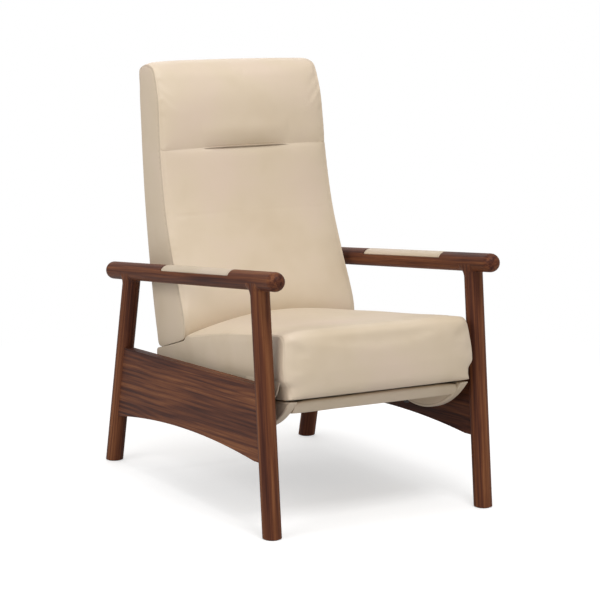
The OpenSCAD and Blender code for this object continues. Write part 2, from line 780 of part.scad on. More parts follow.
// One zigzag spring: bars across with half rounds at alternate ends
module zigzag(from, to) {
    bars = floor((to - from) / spring_pitch);
    pitch = (to - from) / bars;
    arm = (spring_w - pitch) / 2;
    for (i = [0 : bars]) translate([-arm, from + i * pitch, 0]) rotate([0, 90, 0])
        cylinder(d = spring_wire, h = 2 * arm);
    for (i = [0 : bars - 1]) {
        turn = i % 2 == 0 ? -90 : 90;
        translate([i % 2 == 0 ? arm : -arm, from + (i + 0.5) * pitch, 0]) rotate([0, 0, turn])
            rotate_extrude(angle = 180) translate([pitch / 2, 0]) circle(d = spring_wire);
    }
}

spring_step = 2 * box_in / spring_count;
spring_x = [for (i = [0 : spring_count - 1]) (i + 0.5) * spring_step - box_in];
spring_from = box_front + box_rail_t / 2;
spring_to = box_rear - box_rail_t / 2;

module seat_springs() {
    color(zinc) in_seat() for (x = spring_x)
        translate([x, 0, rail_top + spring_wire / 2]) zigzag(spring_from, spring_to);
}

module spring_clips() {
    color(steel) in_seat() for (x = spring_x, a = [spring_from, spring_to])
        difference() {
            translate([x - 7, a - 8, rail_top]) cube([14, 16, spring_wire + 0.9]);
            translate([x - 8, a - spring_wire / 2 - joint_gap, rail_top - 1])
                cube([16, spring_wire + 2 * joint_gap, spring_wire + 1 + joint_gap]);
        }
}

module dust_cover() {
    color(cloth) in_seat() translate([-box_out + 3, box_front + 4, 0])
        cube([2 * (box_out - 3), box_rear - box_front - 8, rail_bottom]);
}

// Steel side plates of the seat: linkage pivots, glide bolts and the recline link's pin

glide_bolt_pts = [front_bush_yz, rear_bush_yz];
seat_pin_ab = [back_foot_l, 0];

module seat_plate() {
    front_yz = seat_pt(front_pivot);
    rear_yz = seat_pt(rear_pivot);
    lug_top = seat_pin_yz + 50 * seat_up_dir;
    difference() {
        side_slab(box_out, plate_out) union() {
            eye_bar(front_yz, seat_pt([seat_l - 120, bush_b - 2]), 2 * boss_r + 8, 2 * boss_r + 8, 2 * boss_r + 6);
            eye_bar(front_yz, rear_yz, 2 * boss_r, 2 * boss_r, link_w - 1);
            eye_bar(seat_pin_yz, lug_top, 2 * boss_r, 2 * boss_r - 2, link_w - 1);
        }
        rods([front_yz], drive_tube_d + 2 * run_gap, box_out - 1, plate_out + 1);
        rods([rear_yz, seat_pin_yz], pin_d + 2 * joint_gap, box_out - 1, plate_out + 1);
        rods(seat_bolt_pts, bolt_d + 2 * joint_gap, box_out - 1, plate_out + 1);
        rods(glide_bolt_pts, 10 + 2 * joint_gap, box_out - 1, plate_out + 1);
    }
}

module left_seat_plate() { color(steel) seat_plate(); }
module right_seat_plate() { color(steel) on_side(-1) seat_plate(); }

module seat_plate_bolts() {
    color(zinc) both_sides() {
        rods(seat_bolt_pts, bolt_d, box_in - 2, plate_out);
        rods(seat_bolt_pts, 2 * bolt_d, box_in - 4.5, box_in);
    }
}

// Shoulder bolts that carry the seat on its bushes in the slots
module glide_bolts() {
    color(zinc) both_sides() difference() {
        union() {
            rods(glide_bolt_pts, 10, box_in - 1, track_out + 0.6);
            rods(glide_bolt_pts, bush_d + 4, track_out + 0.6, panel_in - 0.8);
            rods(glide_bolt_pts, 16, box_in - 5, box_in);
        }
        rods(glide_bolt_pts, 3, panel_in - 2, panel_in);
    }
}

module glide_bushes() {
    color(nylon) both_sides() difference() {
        union() {
            rods(glide_bolt_pts, bush_d, track_in - 0.5, track_out + 0.5);
            rods(glide_bolt_pts, bush_d + 6, track_in - 3, track_in - 0.5);
        }
        rods(glide_bolt_pts, 10 + 2 * joint_gap, track_in - 4, track_out + 1);
    }
}

module seat_link_pins() {
    color(zinc) both_sides() {
        rods([seat_pin_yz], pin_d, box_out, tie_out + 0.4);
        rods([seat_pin_yz], pin_d + 5, plate_out, tie_in - 0.3);
        rods([seat_pin_yz], pin_head_d, tie_out + 0.4, tie_out + 0.4 + pin_head_t);
    }
}

module linkage_pins() {
    color(zinc) both_sides() {
        rods([seat_pt(rear_pivot)], pin_d, box_out + 0.2, link_out + 0.4);
        rods([seat_pt(rear_pivot)], pin_head_d, link_out + 0.4, link_out + 0.4 + pin_head_t);
    }
}

// Footrest linkage

module swing_link(p, q, d_p, d_q) {
    difference() {
        side_slab(link_in, link_out) union() {
            strip(seat_pt(p), seat_pt(q), link_w);
            translate(seat_pt(p)) circle(r = boss_r);
            translate(seat_pt(q)) circle(r = boss_r);
        }
        rods([seat_pt(p)], d_p, link_in - 1, link_out + 1);
        rods([seat_pt(q)], d_q, link_in - 1, link_out + 1);
    }
}

module front_link() {
    difference() {
        union() {
            swing_link(front_pivot, front_pin, 1, pin_d + 2 * run_gap);
            rods([seat_pt(front_pivot)], drive_tube_d + 6, link_in, link_out);
        }
        rods([seat_pt(front_pivot)], drive_tube_d + 2 * joint_gap, link_in - 1, link_out + 1);
    }
}

module left_front_link() { color(steel) front_link(); }
module right_front_link() { color(steel) on_side(-1) front_link(); }

module rear_link() { swing_link(rear_pivot, rear_pin, pin_d + 2 * run_gap, pin_d + 2 * open_pivot_gap / 4); }
module left_rear_link() { color(steel) rear_link(); }
module right_rear_link() { color(steel) on_side(-1) rear_link(); }

module drive_tube() {
    p = [seat_pt(front_pivot)];
    color(zinc) difference() {
        union() {
            rods(p, drive_tube_d, -link_out - 1, link_out + 1);
            rods(p, drive_tube_d + 5, link_out + 0.2, link_out + 2);
            rods(p, drive_tube_d + 5, -link_out - 2, -link_out - 0.2);
        }
        rods(p, drive_tube_d - 4, -link_out - 3, link_out + 3);
    }
}

// Footrest: padded board between two D-shaped cheeks

module cheek_outline(inset) {
    r = cheek_r - inset;
    top = cheek_top_b - inset;
    rear = cheek_rear_a - inset;
    corner = cheek_corner_r - inset;
    corner_b = cheek_centre[1] - sqrt(pow(r - corner, 2) - pow(rear - corner - cheek_centre[0], 2));
    difference() {
        intersection() {
            translate(cheek_centre) circle(r = r, $fn = 240);
            translate([-cheek_r, top - 2 * cheek_r]) square([cheek_r + rear, 2 * cheek_r]);
        }
        difference() {
            translate([rear - corner, corner_b - 2 * cheek_r]) square([2 * corner, 2 * cheek_r]);
            translate([rear - corner, corner_b]) circle(r = corner);
        }
    }
}

module cheek() {
    soft_r = 3;
    difference() {
        union() {
            side_slab(cheek_in, cheek_out - soft_r) seat_view() cheek_outline(1);
            side_slab(cheek_in + soft_r, cheek_out - soft_r) seat_view() cheek_outline(0);
            side_slab(cheek_in, cheek_out) seat_view() cheek_outline(soft_r);
        }
        rods([for (a = bracket_row_a) seat_pt([a, bracket_row_b])], screw_d + 2 * joint_gap, cheek_in + 4, cheek_out + 1);
    }
}

module left_cheek() { color(leather) cheek(); }
module right_cheek() { color(leather) on_side(-1) cheek(); }

board_top = cheek_top_b - (footrest_t - footrest_board_t);
board_bottom = board_top - footrest_board_t;
board_half = footrest_inner_w / 2 - 0.3;
board_front = band_a + 26;
board_rear = cheek_rear_a - 14;

module footrest_board() {
    color(beech) in_seat() translate([-board_half, board_front, board_bottom])
        cube([2 * board_half, board_rear - board_front, footrest_board_t]);
}

cover_outline = concat(
    round_corner([band_a + 20, board_bottom + 7], 9, 215, 270, 3),
    [[board_front + 20, board_bottom - 2], [board_rear - 10, board_bottom - 2]],
    round_corner([board_rear - 4, board_bottom + 4], 6, 270, 360, 3),
    round_corner([board_rear - 6, cheek_top_b - 8.5], 8, 0, 90, 3),
    [[200, cheek_top_b], [120, cheek_top_b]],
    round_corner([band_a + 7, cheek_top_b - 7.5], 7, 90, 170, 4),
    [[band_a + 4, cheek_top_b - 16]]
);

function cover_soft(p) = p[1] < cheek_top_b - 12 ? 0.3 : 1;
function cover_ring(x, draw) = [for (i = [0 : len(cover_outline) - 1])
    let (p = cover_outline[i], n = normal(cover_outline, i), q = p - n * draw * cover_soft(p)) [x, q[0], q[1]]];

module footrest_cover() {
    half = [0, 70, 130, 175, 205];
    span = board_half;
    rings = concat(
        [cover_ring(-span, 5), cover_ring(-span + 4, 3)],
        [for (x = mirror_list(half)) cover_ring(x, 0.5 + 2 * pow(abs(x) / span, 4))],
        [cover_ring(span - 4, 3), cover_ring(span, 5)]
    );
    color(leather) in_seat() difference() {
        skin(rings);
        translate([-side_spacing, board_front - joint_gap, board_bottom - 10])
            cube([2 * side_spacing, board_rear, footrest_board_t + 10 + joint_gap]);
    }
}

module footrest_bracket() {
    difference() {
        side_slab(cheek_out, plate_out) seat_view() union() {
            eye_bar([bracket_row_a[0], bracket_row_b], [bracket_row_a[2], bracket_row_b],
                2 * bracket_r, 2 * bracket_r, 2 * bracket_r - 4);
            eye_bar(front_pin, rear_pin, 2 * boss_r, 2 * boss_r, link_w - 1);
        }
        rods([seat_pt(front_pin), seat_pt(rear_pin)], pin_d + 2 * joint_gap, cheek_out - 1, plate_out + 1);
        rods([for (a = bracket_row_a) seat_pt([a, bracket_row_b])], screw_d + 2 * joint_gap, cheek_out - 1, plate_out + 1);
    }
}

module left_footrest_bracket() { color(steel) footrest_bracket(); }
module right_footrest_bracket() { color(steel) on_side(-1) footrest_bracket(); }

module footrest_screws() {
    pts = [for (a = bracket_row_a) seat_pt([a, bracket_row_b])];
    color(zinc) both_sides() rods(pts, screw_d, cheek_in + 6, plate_out);
}

module footrest_pins() {
    pts = [seat_pt(front_pin), seat_pt(rear_pin)];
    color(zinc) both_sides() {
        rods(pts, pin_d, cheek_out + 0.2, link_out + 0.4);
        rods(pts, pin_head_d, link_out + 0.4, link_out + 0.4 + pin_head_t);
    }
}

// Recline links

module recline_link() {
    difference() {
        side_slab(tie_in, tie_out) strip(arm_pin_yz, link_hole_yz, 2 * boss_r - 2);
        rods([arm_pin_yz], pin_d + 2 * run_gap, tie_in - 1, tie_out + 1);
        rods([link_hole_yz], pin_d + 2 * open_pivot_gap, tie_in - 1, tie_out + 1);
    }
}

module left_recline_link() { color(steel) recline_link(); }
module right_recline_link() { color(steel) on_side(-1) recline_link(); }

// Back. Its outline is drawn in [forward, up] and runs round from the rear lower edge

back_half = back_w / 2;
taper_from = 200;
function taper(u) = 1 - back_taper / back_half * max(0, u - taper_from) / (back_l - taper_from);
top_corner_r = 22;
cavity_v = 42;
front_line = spline([
    [back_base_t, 2], [back_base_t - 14, 105], [back_base_t - 36, 195], [back_mid_t + 5, 309],
    [back_mid_t, head_seam_u - 75], [back_mid_t, head_seam_u - 4]
], 3);
head_line = spline([
    [back_mid_t + 1, head_seam_u + 4], [back_head_t - 2, head_seam_u + 75], [back_head_t, back_l - 95],
    [back_head_t - 4, back_l - 38], [back_head_t - 22, back_l - 10], [back_head_t / 2 - 4, back_l + 0.5],
    [15, back_l - 1.5], [2.5, back_l - 12], [0, back_l - 54]
], 3);
back_outline = concat(
    [[0, 24], [8, 3], [26, -10], [60, -9], [110, -5], [back_base_t - 7, -1]],
    front_line,
    [[back_mid_t, head_seam_u - 4], [back_mid_t - 1.5, head_seam_u]],
    head_line,
    [[0, back_l - 54]]
);

// How far a point of the back's outline is pushed forward by the crown at full softness
function back_soft(p) =
    p[0] < 30 ? (p[1] > back_l - 30 ? 0.25 : 0) :
    p[1] < 1 ? 0 :
    p[1] < 60 ? 0.15 + 0.85 * p[1] / 60 :
    p[1] > back_l - 60 ? 0.5 : 1;

function groove(p, x) =
    abs(p[1] - head_seam_u) < 0.5 ? 3 + pleat_depth * (abs(x) < pleat_half ? cos(90 * pow(abs(x) / pleat_half, 4)) : 0) : 0;

function back_draw(x) =
    let (t = abs(x) / back_half) -back_crown * pow(1 - pow(t, 9), 0.5);

// Rounding of the back's top corners, seen from the front
function corner_drop(p, x) =
    let (s = max(0, abs(x) - back_half + top_corner_r))
    min(1, max(0, (p[1] - back_l + 80) / 60)) * 0.3 * (top_corner_r - sqrt(top_corner_r * top_corner_r - s * s));

function back_ring(x, draw) = [for (i = [0 : len(back_outline) - 1])
    let (p = back_outline[i], n = normal(back_outline, i),
        q = p - n * (draw * back_soft(p) + groove(p, x) + corner_drop(p, x))) [x * taper(q[1]), -q[0], q[1]]];

module back_cushion() {
    half = [0, 60, 105, 124, 150, 185, 214, 231, 240];
    rings = concat(
        [back_ring(-back_half, 0)],
        [for (x = mirror_list(half)) back_ring(x, back_draw(x))],
        [back_ring(back_half, 0)]
    );
    color(leather) in_back() difference() {
        skin([for (i = [len(rings) - 1 : -1 : 0]) rings[i]]);
        translate([-cavity_half, -cavity_v, cavity_bottom]) cube([2 * cavity_half, cavity_v + 20, cavity_top - cavity_bottom]);
    }
}

stile_out = back_half - 16;
stile_w = 32;
stile_t = 28;
stile_v = 8;
stile_bottom = 24;
stile_top = back_l - 56;
cavity_half = stile_out + 3;
cavity_bottom = stile_bottom - 4;
cavity_top = stile_top + 4;

module back_stiles() {
    color(beech) in_back() both_sides() difference() {
        translate([stile_out - stile_w, -stile_v - stile_t, stile_bottom])
            cube([stile_w, stile_t, stile_top - stile_bottom]);
        rods_along_y(bracket_bolt_pts, bolt_d + 2 * joint_gap, -stile_v - stile_t - 1, 1);
    }
}

module back_cross_rails() {
    inner = stile_out - stile_w - joint_gap;
    rail_h = 46;
    color(beech) in_back() for (u = [stile_bottom, (stile_bottom + stile_top) / 2, stile_top - rail_h])
        translate([-inner, -stile_v - stile_t, u]) cube([2 * inner, stile_t, rail_h]);
}

module back_webbing() {
    strap_h = 50;
    rows = 6;
    first = stile_bottom + 40;
    step = (stile_top - stile_bottom - 80 - strap_h) / (rows - 1);
    color(cloth) in_back() for (i = [0 : rows - 1])
        translate([-stile_out, -stile_v - stile_t - 2, first + i * step]) cube([2 * stile_out, 2, strap_h]);
}

// Upholstered board that closes the rear of the back
outside_line = spline([
    [-1, -4], [-5.5, 14], [-7.4, 70], [-7.6, 0.288 * back_l], [-7.6, 0.576 * back_l], [-7, back_l - 134], [-5.5, back_l - 85], [-1, back_l - 60]
], 3);

module outside_back() {
    outline = concat(outside_line, [[-1, back_l - 60], [-0.3, back_l - 62], [-0.3, 26], [2, 4]]);
    color(leather) in_back() difference() {
        intersection() {
            translate([-back_half, 0, 0]) rotate([90, 0, 90]) linear_extrude(height = 2 * back_half)
                mirror([1, 0]) polygon(outline);
            translate([0, back_half, 0]) rotate([90, 0, 0]) linear_extrude(height = 2 * back_half)
                polygon([for (c = [[-1, -20], [1, -20], [1, taper_from], [1, back_l], [-1, back_l], [-1, taper_from]])
                    [c[0] * (back_half * taper(c[1]) - 1.5), c[1]]]);
        }
        mirror([1, 0, 0]) rods_along_y(bracket_bolt_pts, bolt_d + 2 * joint_gap, -2, 12);
        rods_along_y(bracket_bolt_pts, bolt_d + 2 * joint_gap, -2, 12);
    }
}

// Hinge brackets of the back: side plate with the pivot and lower arm, and a rear flange
flange_v = 26;
flange_x = stile_out - stile_w;
flange_low = -80;
flange_strip_h = 34;
flange_w = 22;
flange_high = 78;
bracket_bolt_x = flange_x + flange_w / 2;
bracket_bolt_pts = [[bracket_bolt_x, 34], [bracket_bolt_x, 62]];

module back_bracket() {
    difference() {
        union() {
            side_slab(arm_in, arm_out) union() {
                strip(hinge_yz, arm_pin_yz, 2 * boss_r + 4);
                translate(hinge_yz) circle(r = hinge_pin_d / 2 + 8);
                translate(back_origin) rotate(-back_tilt) translate([-hinge_fwd, flange_low])
                    square([hinge_fwd + flange_v + plate_t, flange_strip_h - 8]);
            }
            in_back() translate([flange_x, flange_v, flange_low]) cube([arm_out - flange_x, plate_t, flange_strip_h - 8]);
            in_back() translate([flange_x, flange_v, flange_low]) cube([flange_w, plate_t, flange_high - flange_low]);
        }
        rods([hinge_yz], hinge_pin_d + 2 * run_gap, arm_in - 1, arm_out + 1);
        rods([arm_pin_yz], pin_d + 2 * joint_gap, arm_in - 1, arm_out + 1);
        in_back() rods_along_y(bracket_bolt_pts, bolt_d + 2 * joint_gap, flange_v - 1, flange_v + plate_t + 1);
    }
}

module left_back_bracket() { color(steel) back_bracket(); }
module right_back_bracket() { color(steel) on_side(-1) back_bracket(); }

module bracket_sleeves() {
    color(zinc) in_back() both_sides() difference() {
        rods_along_y(bracket_bolt_pts, bolt_d + 6, 8.6, flange_v);
        rods_along_y(bracket_bolt_pts, bolt_d + 2 * joint_gap, 8, flange_v + 1);
    }
}

module bracket_bolts() {
    color(zinc) in_back() both_sides() {
        rods_along_y(bracket_bolt_pts, bolt_d, -stile_v - stile_t, flange_v + plate_t);
        rods_along_y(bracket_bolt_pts, 2 * bolt_d, flange_v + plate_t, flange_v + plate_t + 4);
    }
}

module arm_link_pins() {
    color(zinc) both_sides() {
        rods([arm_pin_yz], pin_d, arm_in, tie_out + 0.4);
        rods([arm_pin_yz], pin_head_d, tie_out + 0.4, tie_out + 0.4 + pin_head_t);
    }
}

left_front_leg();
right_front_leg();
left_rear_leg();
right_rear_leg();
left_arm_rail();
right_arm_rail();
left_arm_pad();
right_arm_pad();
left_side_panel();
right_side_panel();
panel_dowels();
leg_glides();
front_stretcher();
rear_stretcher();
stretcher_angles();
stretcher_screws();
left_track_plate();
right_track_plate();
track_spacers();
track_screws();
back_pivot_pins();
seat_cushion();
seat_side_rails();
seat_cross_rails();
seat_springs();
spring_clips();
dust_cover();
left_seat_plate();
right_seat_plate();
seat_plate_bolts();
glide_bolts();
glide_bushes();
seat_link_pins();
linkage_pins();
back_cushion();
outside_back();
back_stiles();
back_cross_rails();
back_webbing();
left_back_bracket();
right_back_bracket();
bracket_sleeves();
bracket_bolts();
arm_link_pins();
left_recline_link();
right_recline_link();
left_front_link();
right_front_link();
drive_tube();
left_rear_link();
right_rear_link();
footrest_cover();
footrest_board();
left_cheek();
right_cheek();
left_footrest_bracket();
right_footrest_bracket();
footrest_screws();
footrest_pins();
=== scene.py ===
"""Looks of the recliner: leather cushions, walnut frame, metalwork, floor, light and camera."""
import json
import math

import bmesh
import bpy
import numpy as np
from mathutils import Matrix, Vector
from mathutils.geometry import delaunay_2d_cdt


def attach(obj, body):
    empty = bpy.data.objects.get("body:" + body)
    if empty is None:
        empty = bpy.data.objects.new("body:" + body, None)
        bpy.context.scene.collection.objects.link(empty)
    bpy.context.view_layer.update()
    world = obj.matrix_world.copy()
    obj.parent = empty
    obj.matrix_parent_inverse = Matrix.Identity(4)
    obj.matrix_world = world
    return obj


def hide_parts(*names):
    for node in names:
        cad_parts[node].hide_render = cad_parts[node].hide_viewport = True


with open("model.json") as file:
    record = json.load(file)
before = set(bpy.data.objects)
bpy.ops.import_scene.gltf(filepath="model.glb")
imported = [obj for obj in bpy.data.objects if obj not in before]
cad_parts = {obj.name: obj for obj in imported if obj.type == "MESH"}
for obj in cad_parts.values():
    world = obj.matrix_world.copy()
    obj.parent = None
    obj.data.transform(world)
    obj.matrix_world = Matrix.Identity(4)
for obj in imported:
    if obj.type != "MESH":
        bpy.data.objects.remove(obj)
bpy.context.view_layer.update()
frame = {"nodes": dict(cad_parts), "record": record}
nodes = frame["nodes"]
scene = bpy.context.scene

MM = 0.001
WHITE = (1.0, 1.0, 1.0, 1.0)
BLACK = (0.0, 0.0, 0.0, 1.0)

# ---------------------------------------------------------------- camera
LENS_MM, SENSOR_MM = 130.386, 36.0
CAMERA_PLACE = (-2.5852, -4.6545, 1.3754)
CAMERA_PITCH, CAMERA_TURN = math.radians(80.314), math.radians(-29.254)

camera_data = bpy.data.cameras.new("camera")
camera_data.lens = LENS_MM
camera_data.sensor_width = SENSOR_MM
camera_data.clip_end = 60.0
camera = bpy.data.objects.new("camera", camera_data)
camera.location = CAMERA_PLACE
camera.rotation_euler = (CAMERA_PITCH, 0.0, CAMERA_TURN)
scene.collection.objects.link(camera)
scene.camera = camera

# ---------------------------------------------------------------- frames of the cushions, in mm
SEAT_TILT = math.radians(7)
SEAT_ORIGIN = np.array([-438.4, 317.0])
SEAT_BACK = np.array([math.cos(SEAT_TILT), -math.sin(SEAT_TILT)])
SEAT_UP = np.array([math.sin(SEAT_TILT), math.cos(SEAT_TILT)])
BACK_TILT = math.radians(9.9)
BACK_FOOT = (685.5, 113.5)          # the back frame's origin in the seat frame
BACK_ORIGIN = SEAT_ORIGIN + SEAT_BACK * BACK_FOOT[0] + SEAT_UP * BACK_FOOT[1]
BACK_UP = np.array([math.sin(BACK_TILT), math.cos(BACK_TILT)])
BACK_FWD = np.array([-math.cos(BACK_TILT), math.sin(BACK_TILT)])


def seat_ring_to_world(x, ab):
    """Points [a, b] of the seat frame at a distance x across the chair, in metres."""
    yz = SEAT_ORIGIN + np.outer(ab[:, 0], SEAT_BACK) + np.outer(ab[:, 1], SEAT_UP)
    return np.column_stack([np.broadcast_to(x, len(ab)), yz]) * MM


def back_ring_to_world(x, vu):
    """Points [forward, up] of the back frame at a distance x across the chair, in metres."""
    yz = BACK_ORIGIN + np.outer(vu[:, 0], BACK_FWD) + np.outer(vu[:, 1], BACK_UP)
    return np.column_stack([np.broadcast_to(x, len(vu)), yz]) * MM


# ---------------------------------------------------------------- curves and lofts
def arc(centre, radius, start, end, steps):
    """Points on an arc, its angles in degrees."""
    angles = np.radians(np.linspace(start, end, steps + 1))
    return [(centre[0] + radius * math.cos(g), centre[1] + radius * math.sin(g)) for g in angles]


def spline(points, steps):
    """Smooth open curve through the points."""
    p = np.array(points, float)
    out = []
    for i in range(len(p) - 1):
        a, b, c, d = p[max(i - 1, 0)], p[i], p[i + 1], p[min(i + 2, len(p) - 1)]
        for s in range(steps):
            t = s / steps
            out.append(0.5 * (2 * b + (c - a) * t + (2 * a - 5 * b + 4 * c - d) * t * t
                              + (3 * b - a - 3 * c + d) * t ** 3))
    out.append(p[-1])
    return out


def resample(points, gap, near=(), closed=True):
    """Even spacing along an outline. near lists (distance along it, reach, finer gap)."""
    p = np.array(points, float)
    if closed:
        p = np.vstack([p, p[:1]])
    legs = np.linalg.norm(np.diff(p, axis=0), axis=1)
    keep = np.concatenate([[True], legs > 1e-6])
    p, s = p[keep], np.concatenate([[0], np.cumsum(legs)])[keep]
    tick = 0.25
    fine = np.arange(0, s[-1], tick)
    density = np.full(len(fine), 1.0 / gap)
    for at, reach, small in near:
        d = np.abs(fine - at) / reach
        density = np.maximum(density, (1.0 / small) * np.exp(-d ** 2))
    total = np.concatenate([[0], np.cumsum(density * tick)])
    count = int(round(total[-1]))
    at = np.interp(np.arange(count + (0 if closed else 1)) * total[-1] / count, total, np.append(fine, s[-1]))
    return np.column_stack([np.interp(at, s, p[:, 0]), np.interp(at, s, p[:, 1])]), at


def normals_2d(p):
    """Outward normals of a closed outline that runs anticlockwise."""
    t = np.roll(p, -1, axis=0) - np.roll(p, 1, axis=0)
    n = np.column_stack([t[:, 1], -t[:, 0]])
    return n / np.maximum(np.linalg.norm(n, axis=1), 1e-9)[:, None]


def place_of(points, target):
    """Distance along an outline of its point closest to the target."""
    p = np.array(points, float)
    s = np.concatenate([[0], np.cumsum(np.linalg.norm(np.diff(p, axis=0), axis=1))])
    return float(s[np.argmin(np.linalg.norm(p - np.array(target), axis=1))])


CAP_GAP = 8.5                       # spacing of the points in the cushions' flat sides


def new_object(name, verts, faces):
    mesh = bpy.data.meshes.new(name)
    mesh.from_pydata([tuple(v) for v in verts], [], faces)
    mesh.update()
    obj = bpy.data.objects.new(name, mesh)
    scene.collection.objects.link(obj)
    return obj


def inside_points(ring, gap):
    """Staggered points inside a closed outline, with the distance of each to the outline."""
    low, high = ring.min(axis=0), ring.max(axis=0)
    rows = np.arange(low[1] + gap * 0.5, high[1], gap * 0.866)
    grid = np.array([(x + (gap / 2 if k % 2 else 0), y) for k, y in enumerate(rows)
                     for x in np.arange(low[0] + gap * 0.4, high[0], gap)])
    nxt = np.roll(ring, -1, axis=0)
    crosses = np.zeros(len(grid), bool)
    for (x0, y0), (x1, y1) in zip(ring, nxt):
        hit = (y0 > grid[:, 1]) != (y1 > grid[:, 1])
        at = x0 + (grid[:, 1] - y0) * (x1 - x0) / (y1 - y0 if y1 != y0 else 1e-9)
        crosses ^= hit & (grid[:, 0] < at)
    grid = grid[crosses]
    away = np.min(np.linalg.norm(grid[:, None, :] - ring[None, :, :], axis=2), axis=1)
    keep = away > gap * 0.62
    return grid[keep], away[keep]


def loft(name, rings, tags=None, caps=None):
    """Closed skin over rings of equal length.

    tags: name -> value for each point, ring by ring.
    caps: (end rings in their own plane, spacing, place(points, end, distances),
    tag values(points, distances)). Without it, one face closes each end.
    """
    m, n = len(rings), len(rings[0])
    verts = np.vstack(rings)
    faces = [(k * n + i, (k + 1) * n + i, (k + 1) * n + (i + 1) % n, k * n + (i + 1) % n)
             for k in range(m - 1) for i in range(n)]
    values = {tag: np.asarray(v, float).ravel() for tag, v in (tags or {}).items()}
    fill = []
    if caps:
        flat, gap, place, mark = caps
        for end, ring in enumerate(flat):
            points, away = inside_points(ring, gap)
            start = (0, (m - 1) * n)[end]
            base = len(verts)
            every = [Vector(p) for p in np.vstack([ring, points])]
            out = delaunay_2d_cdt(every, [(i, (i + 1) % n) for i in range(n)], [], 1, 1e-7)
            sources = [o[0] for o in out[3]]
            index = [start + o if o < n else base + o - n for o in sources]
            faces += [tuple(index[i] for i in f) for f in out[2]]
            verts = np.vstack([verts, place(points, end, away)])
            for tag, v in mark(points, away).items():
                values[tag] = np.concatenate([values[tag], v])
    else:
        fill = [0, (m - 1) * n]
    obj = new_object(name, verts, faces)
    for tag, v in values.items():
        set_tag(obj, tag, v)
    bm = bmesh.new()
    bm.from_mesh(obj.data)
    bm.verts.ensure_lookup_table()
    for start in fill:
        face = bm.faces.new([bm.verts[start + i] for i in range(n)])
        bmesh.ops.triangulate(bm, faces=[face])
    bmesh.ops.recalc_face_normals(bm, faces=bm.faces)
    bm.to_mesh(obj.data)
    bm.free()
    smooth(obj)
    return obj


def smooth(obj):
    obj.data.polygons.foreach_set("use_smooth", [True] * len(obj.data.polygons))
    obj.data.update()


def get_co(obj):
    co = np.zeros(len(obj.data.vertices) * 3)
    obj.data.vertices.foreach_get("co", co)
    return co.reshape(-1, 3)


def set_co(obj, co):
    obj.data.vertices.foreach_set("co", np.asarray(co, float).ravel())
    obj.data.update()


def get_normals(obj):
    out = np.zeros(len(obj.data.vertices) * 3)
    obj.data.vertices.foreach_get("normal", out)
    return out.reshape(-1, 3)


def get_tag(obj, tag):
    out = np.zeros(len(obj.data.vertices))
    obj.data.attributes[tag].data.foreach_get("value", out)
    return out


def set_tag(obj, tag, values):
    layer = obj.data.attributes.get(tag) or obj.data.attributes.new(tag, "FLOAT", "POINT")
    layer.data.foreach_set("value", np.asarray(values, np.float32))


def apply_modifiers(obj):
    graph = bpy.context.evaluated_depsgraph_get()
    mesh = bpy.data.meshes.new_from_object(obj.evaluated_get(graph), preserve_all_data_layers=True,
                                           depsgraph=graph)
    obj.modifiers.clear()
    old = obj.data
    obj.data = mesh
    bpy.data.meshes.remove(old)
    mesh.name = obj.name


def subdivide(obj):
    modifier = obj.modifiers.new("subdivision", "SUBSURF")
    modifier.levels = modifier.render_levels = 1
    bpy.context.view_layer.update()
    apply_modifiers(obj)
    smooth(obj)


def waves(points, seed, scale, octaves=3):
    """Smooth seeded noise of points in metres, about -1 to 1. scale is waves per metre."""
    rng = np.random.default_rng(seed)
    total, weight = np.zeros(len(points)), 0.0
    for o in range(octaves):
        for _ in range(6):
            k = rng.normal(size=3)
            k *= scale * 2 ** o / np.linalg.norm(k)
            total += np.sin(points @ k * 2 * math.pi + rng.uniform(0, 2 * math.pi)) / 2 ** o
        weight += 6 ** 0.5 / 2 ** o
    return total / weight


CLOTH_FRAMES, CLOTH_TENSION, CLOTH_BENDING, CLOTH_MASS = 18, 18.0, 0.6, 0.35


def puff(obj, pin, pressure, cap):
    """Inflates the panels between pinned lines with a cloth simulation, and returns its largest move.

    pin is 0 to 1 for each point, and cap the furthest that a point may end from where it began.
    """
    rest = get_co(obj)
    group = obj.vertex_groups.new(name="pin")
    for i in np.nonzero(pin > 0.02)[0]:
        group.add([int(i)], float(min(1.0, pin[i])), "REPLACE")
    modifier = obj.modifiers.new("cloth", "CLOTH")
    s = modifier.settings
    s.quality = 5
    s.mass = CLOTH_MASS
    s.tension_stiffness = s.compression_stiffness = CLOTH_TENSION
    s.shear_stiffness = CLOTH_TENSION / 2
    s.bending_stiffness = CLOTH_BENDING
    s.use_pressure = True
    s.uniform_pressure_force = pressure
    s.effector_weights.gravity = 0
    s.vertex_group_mass = "pin"
    modifier.collision_settings.use_collision = False
    modifier.point_cache.frame_start = 1
    modifier.point_cache.frame_end = CLOTH_FRAMES
    for f in range(CLOTH_FRAMES + 1):
        scene.frame_set(f)
    apply_modifiers(obj)
    obj.vertex_groups.clear()
    scene.frame_set(1)
    move = get_co(obj) - rest
    reach = np.linalg.norm(move, axis=1)
    limit = np.broadcast_to(cap, reach.shape)
    scale = limit / np.maximum(reach, 1e-9) * np.tanh(reach / np.maximum(limit, 1e-9))
    set_co(obj, rest + move * scale[:, None])
    smooth(obj)
    return float(reach.max())


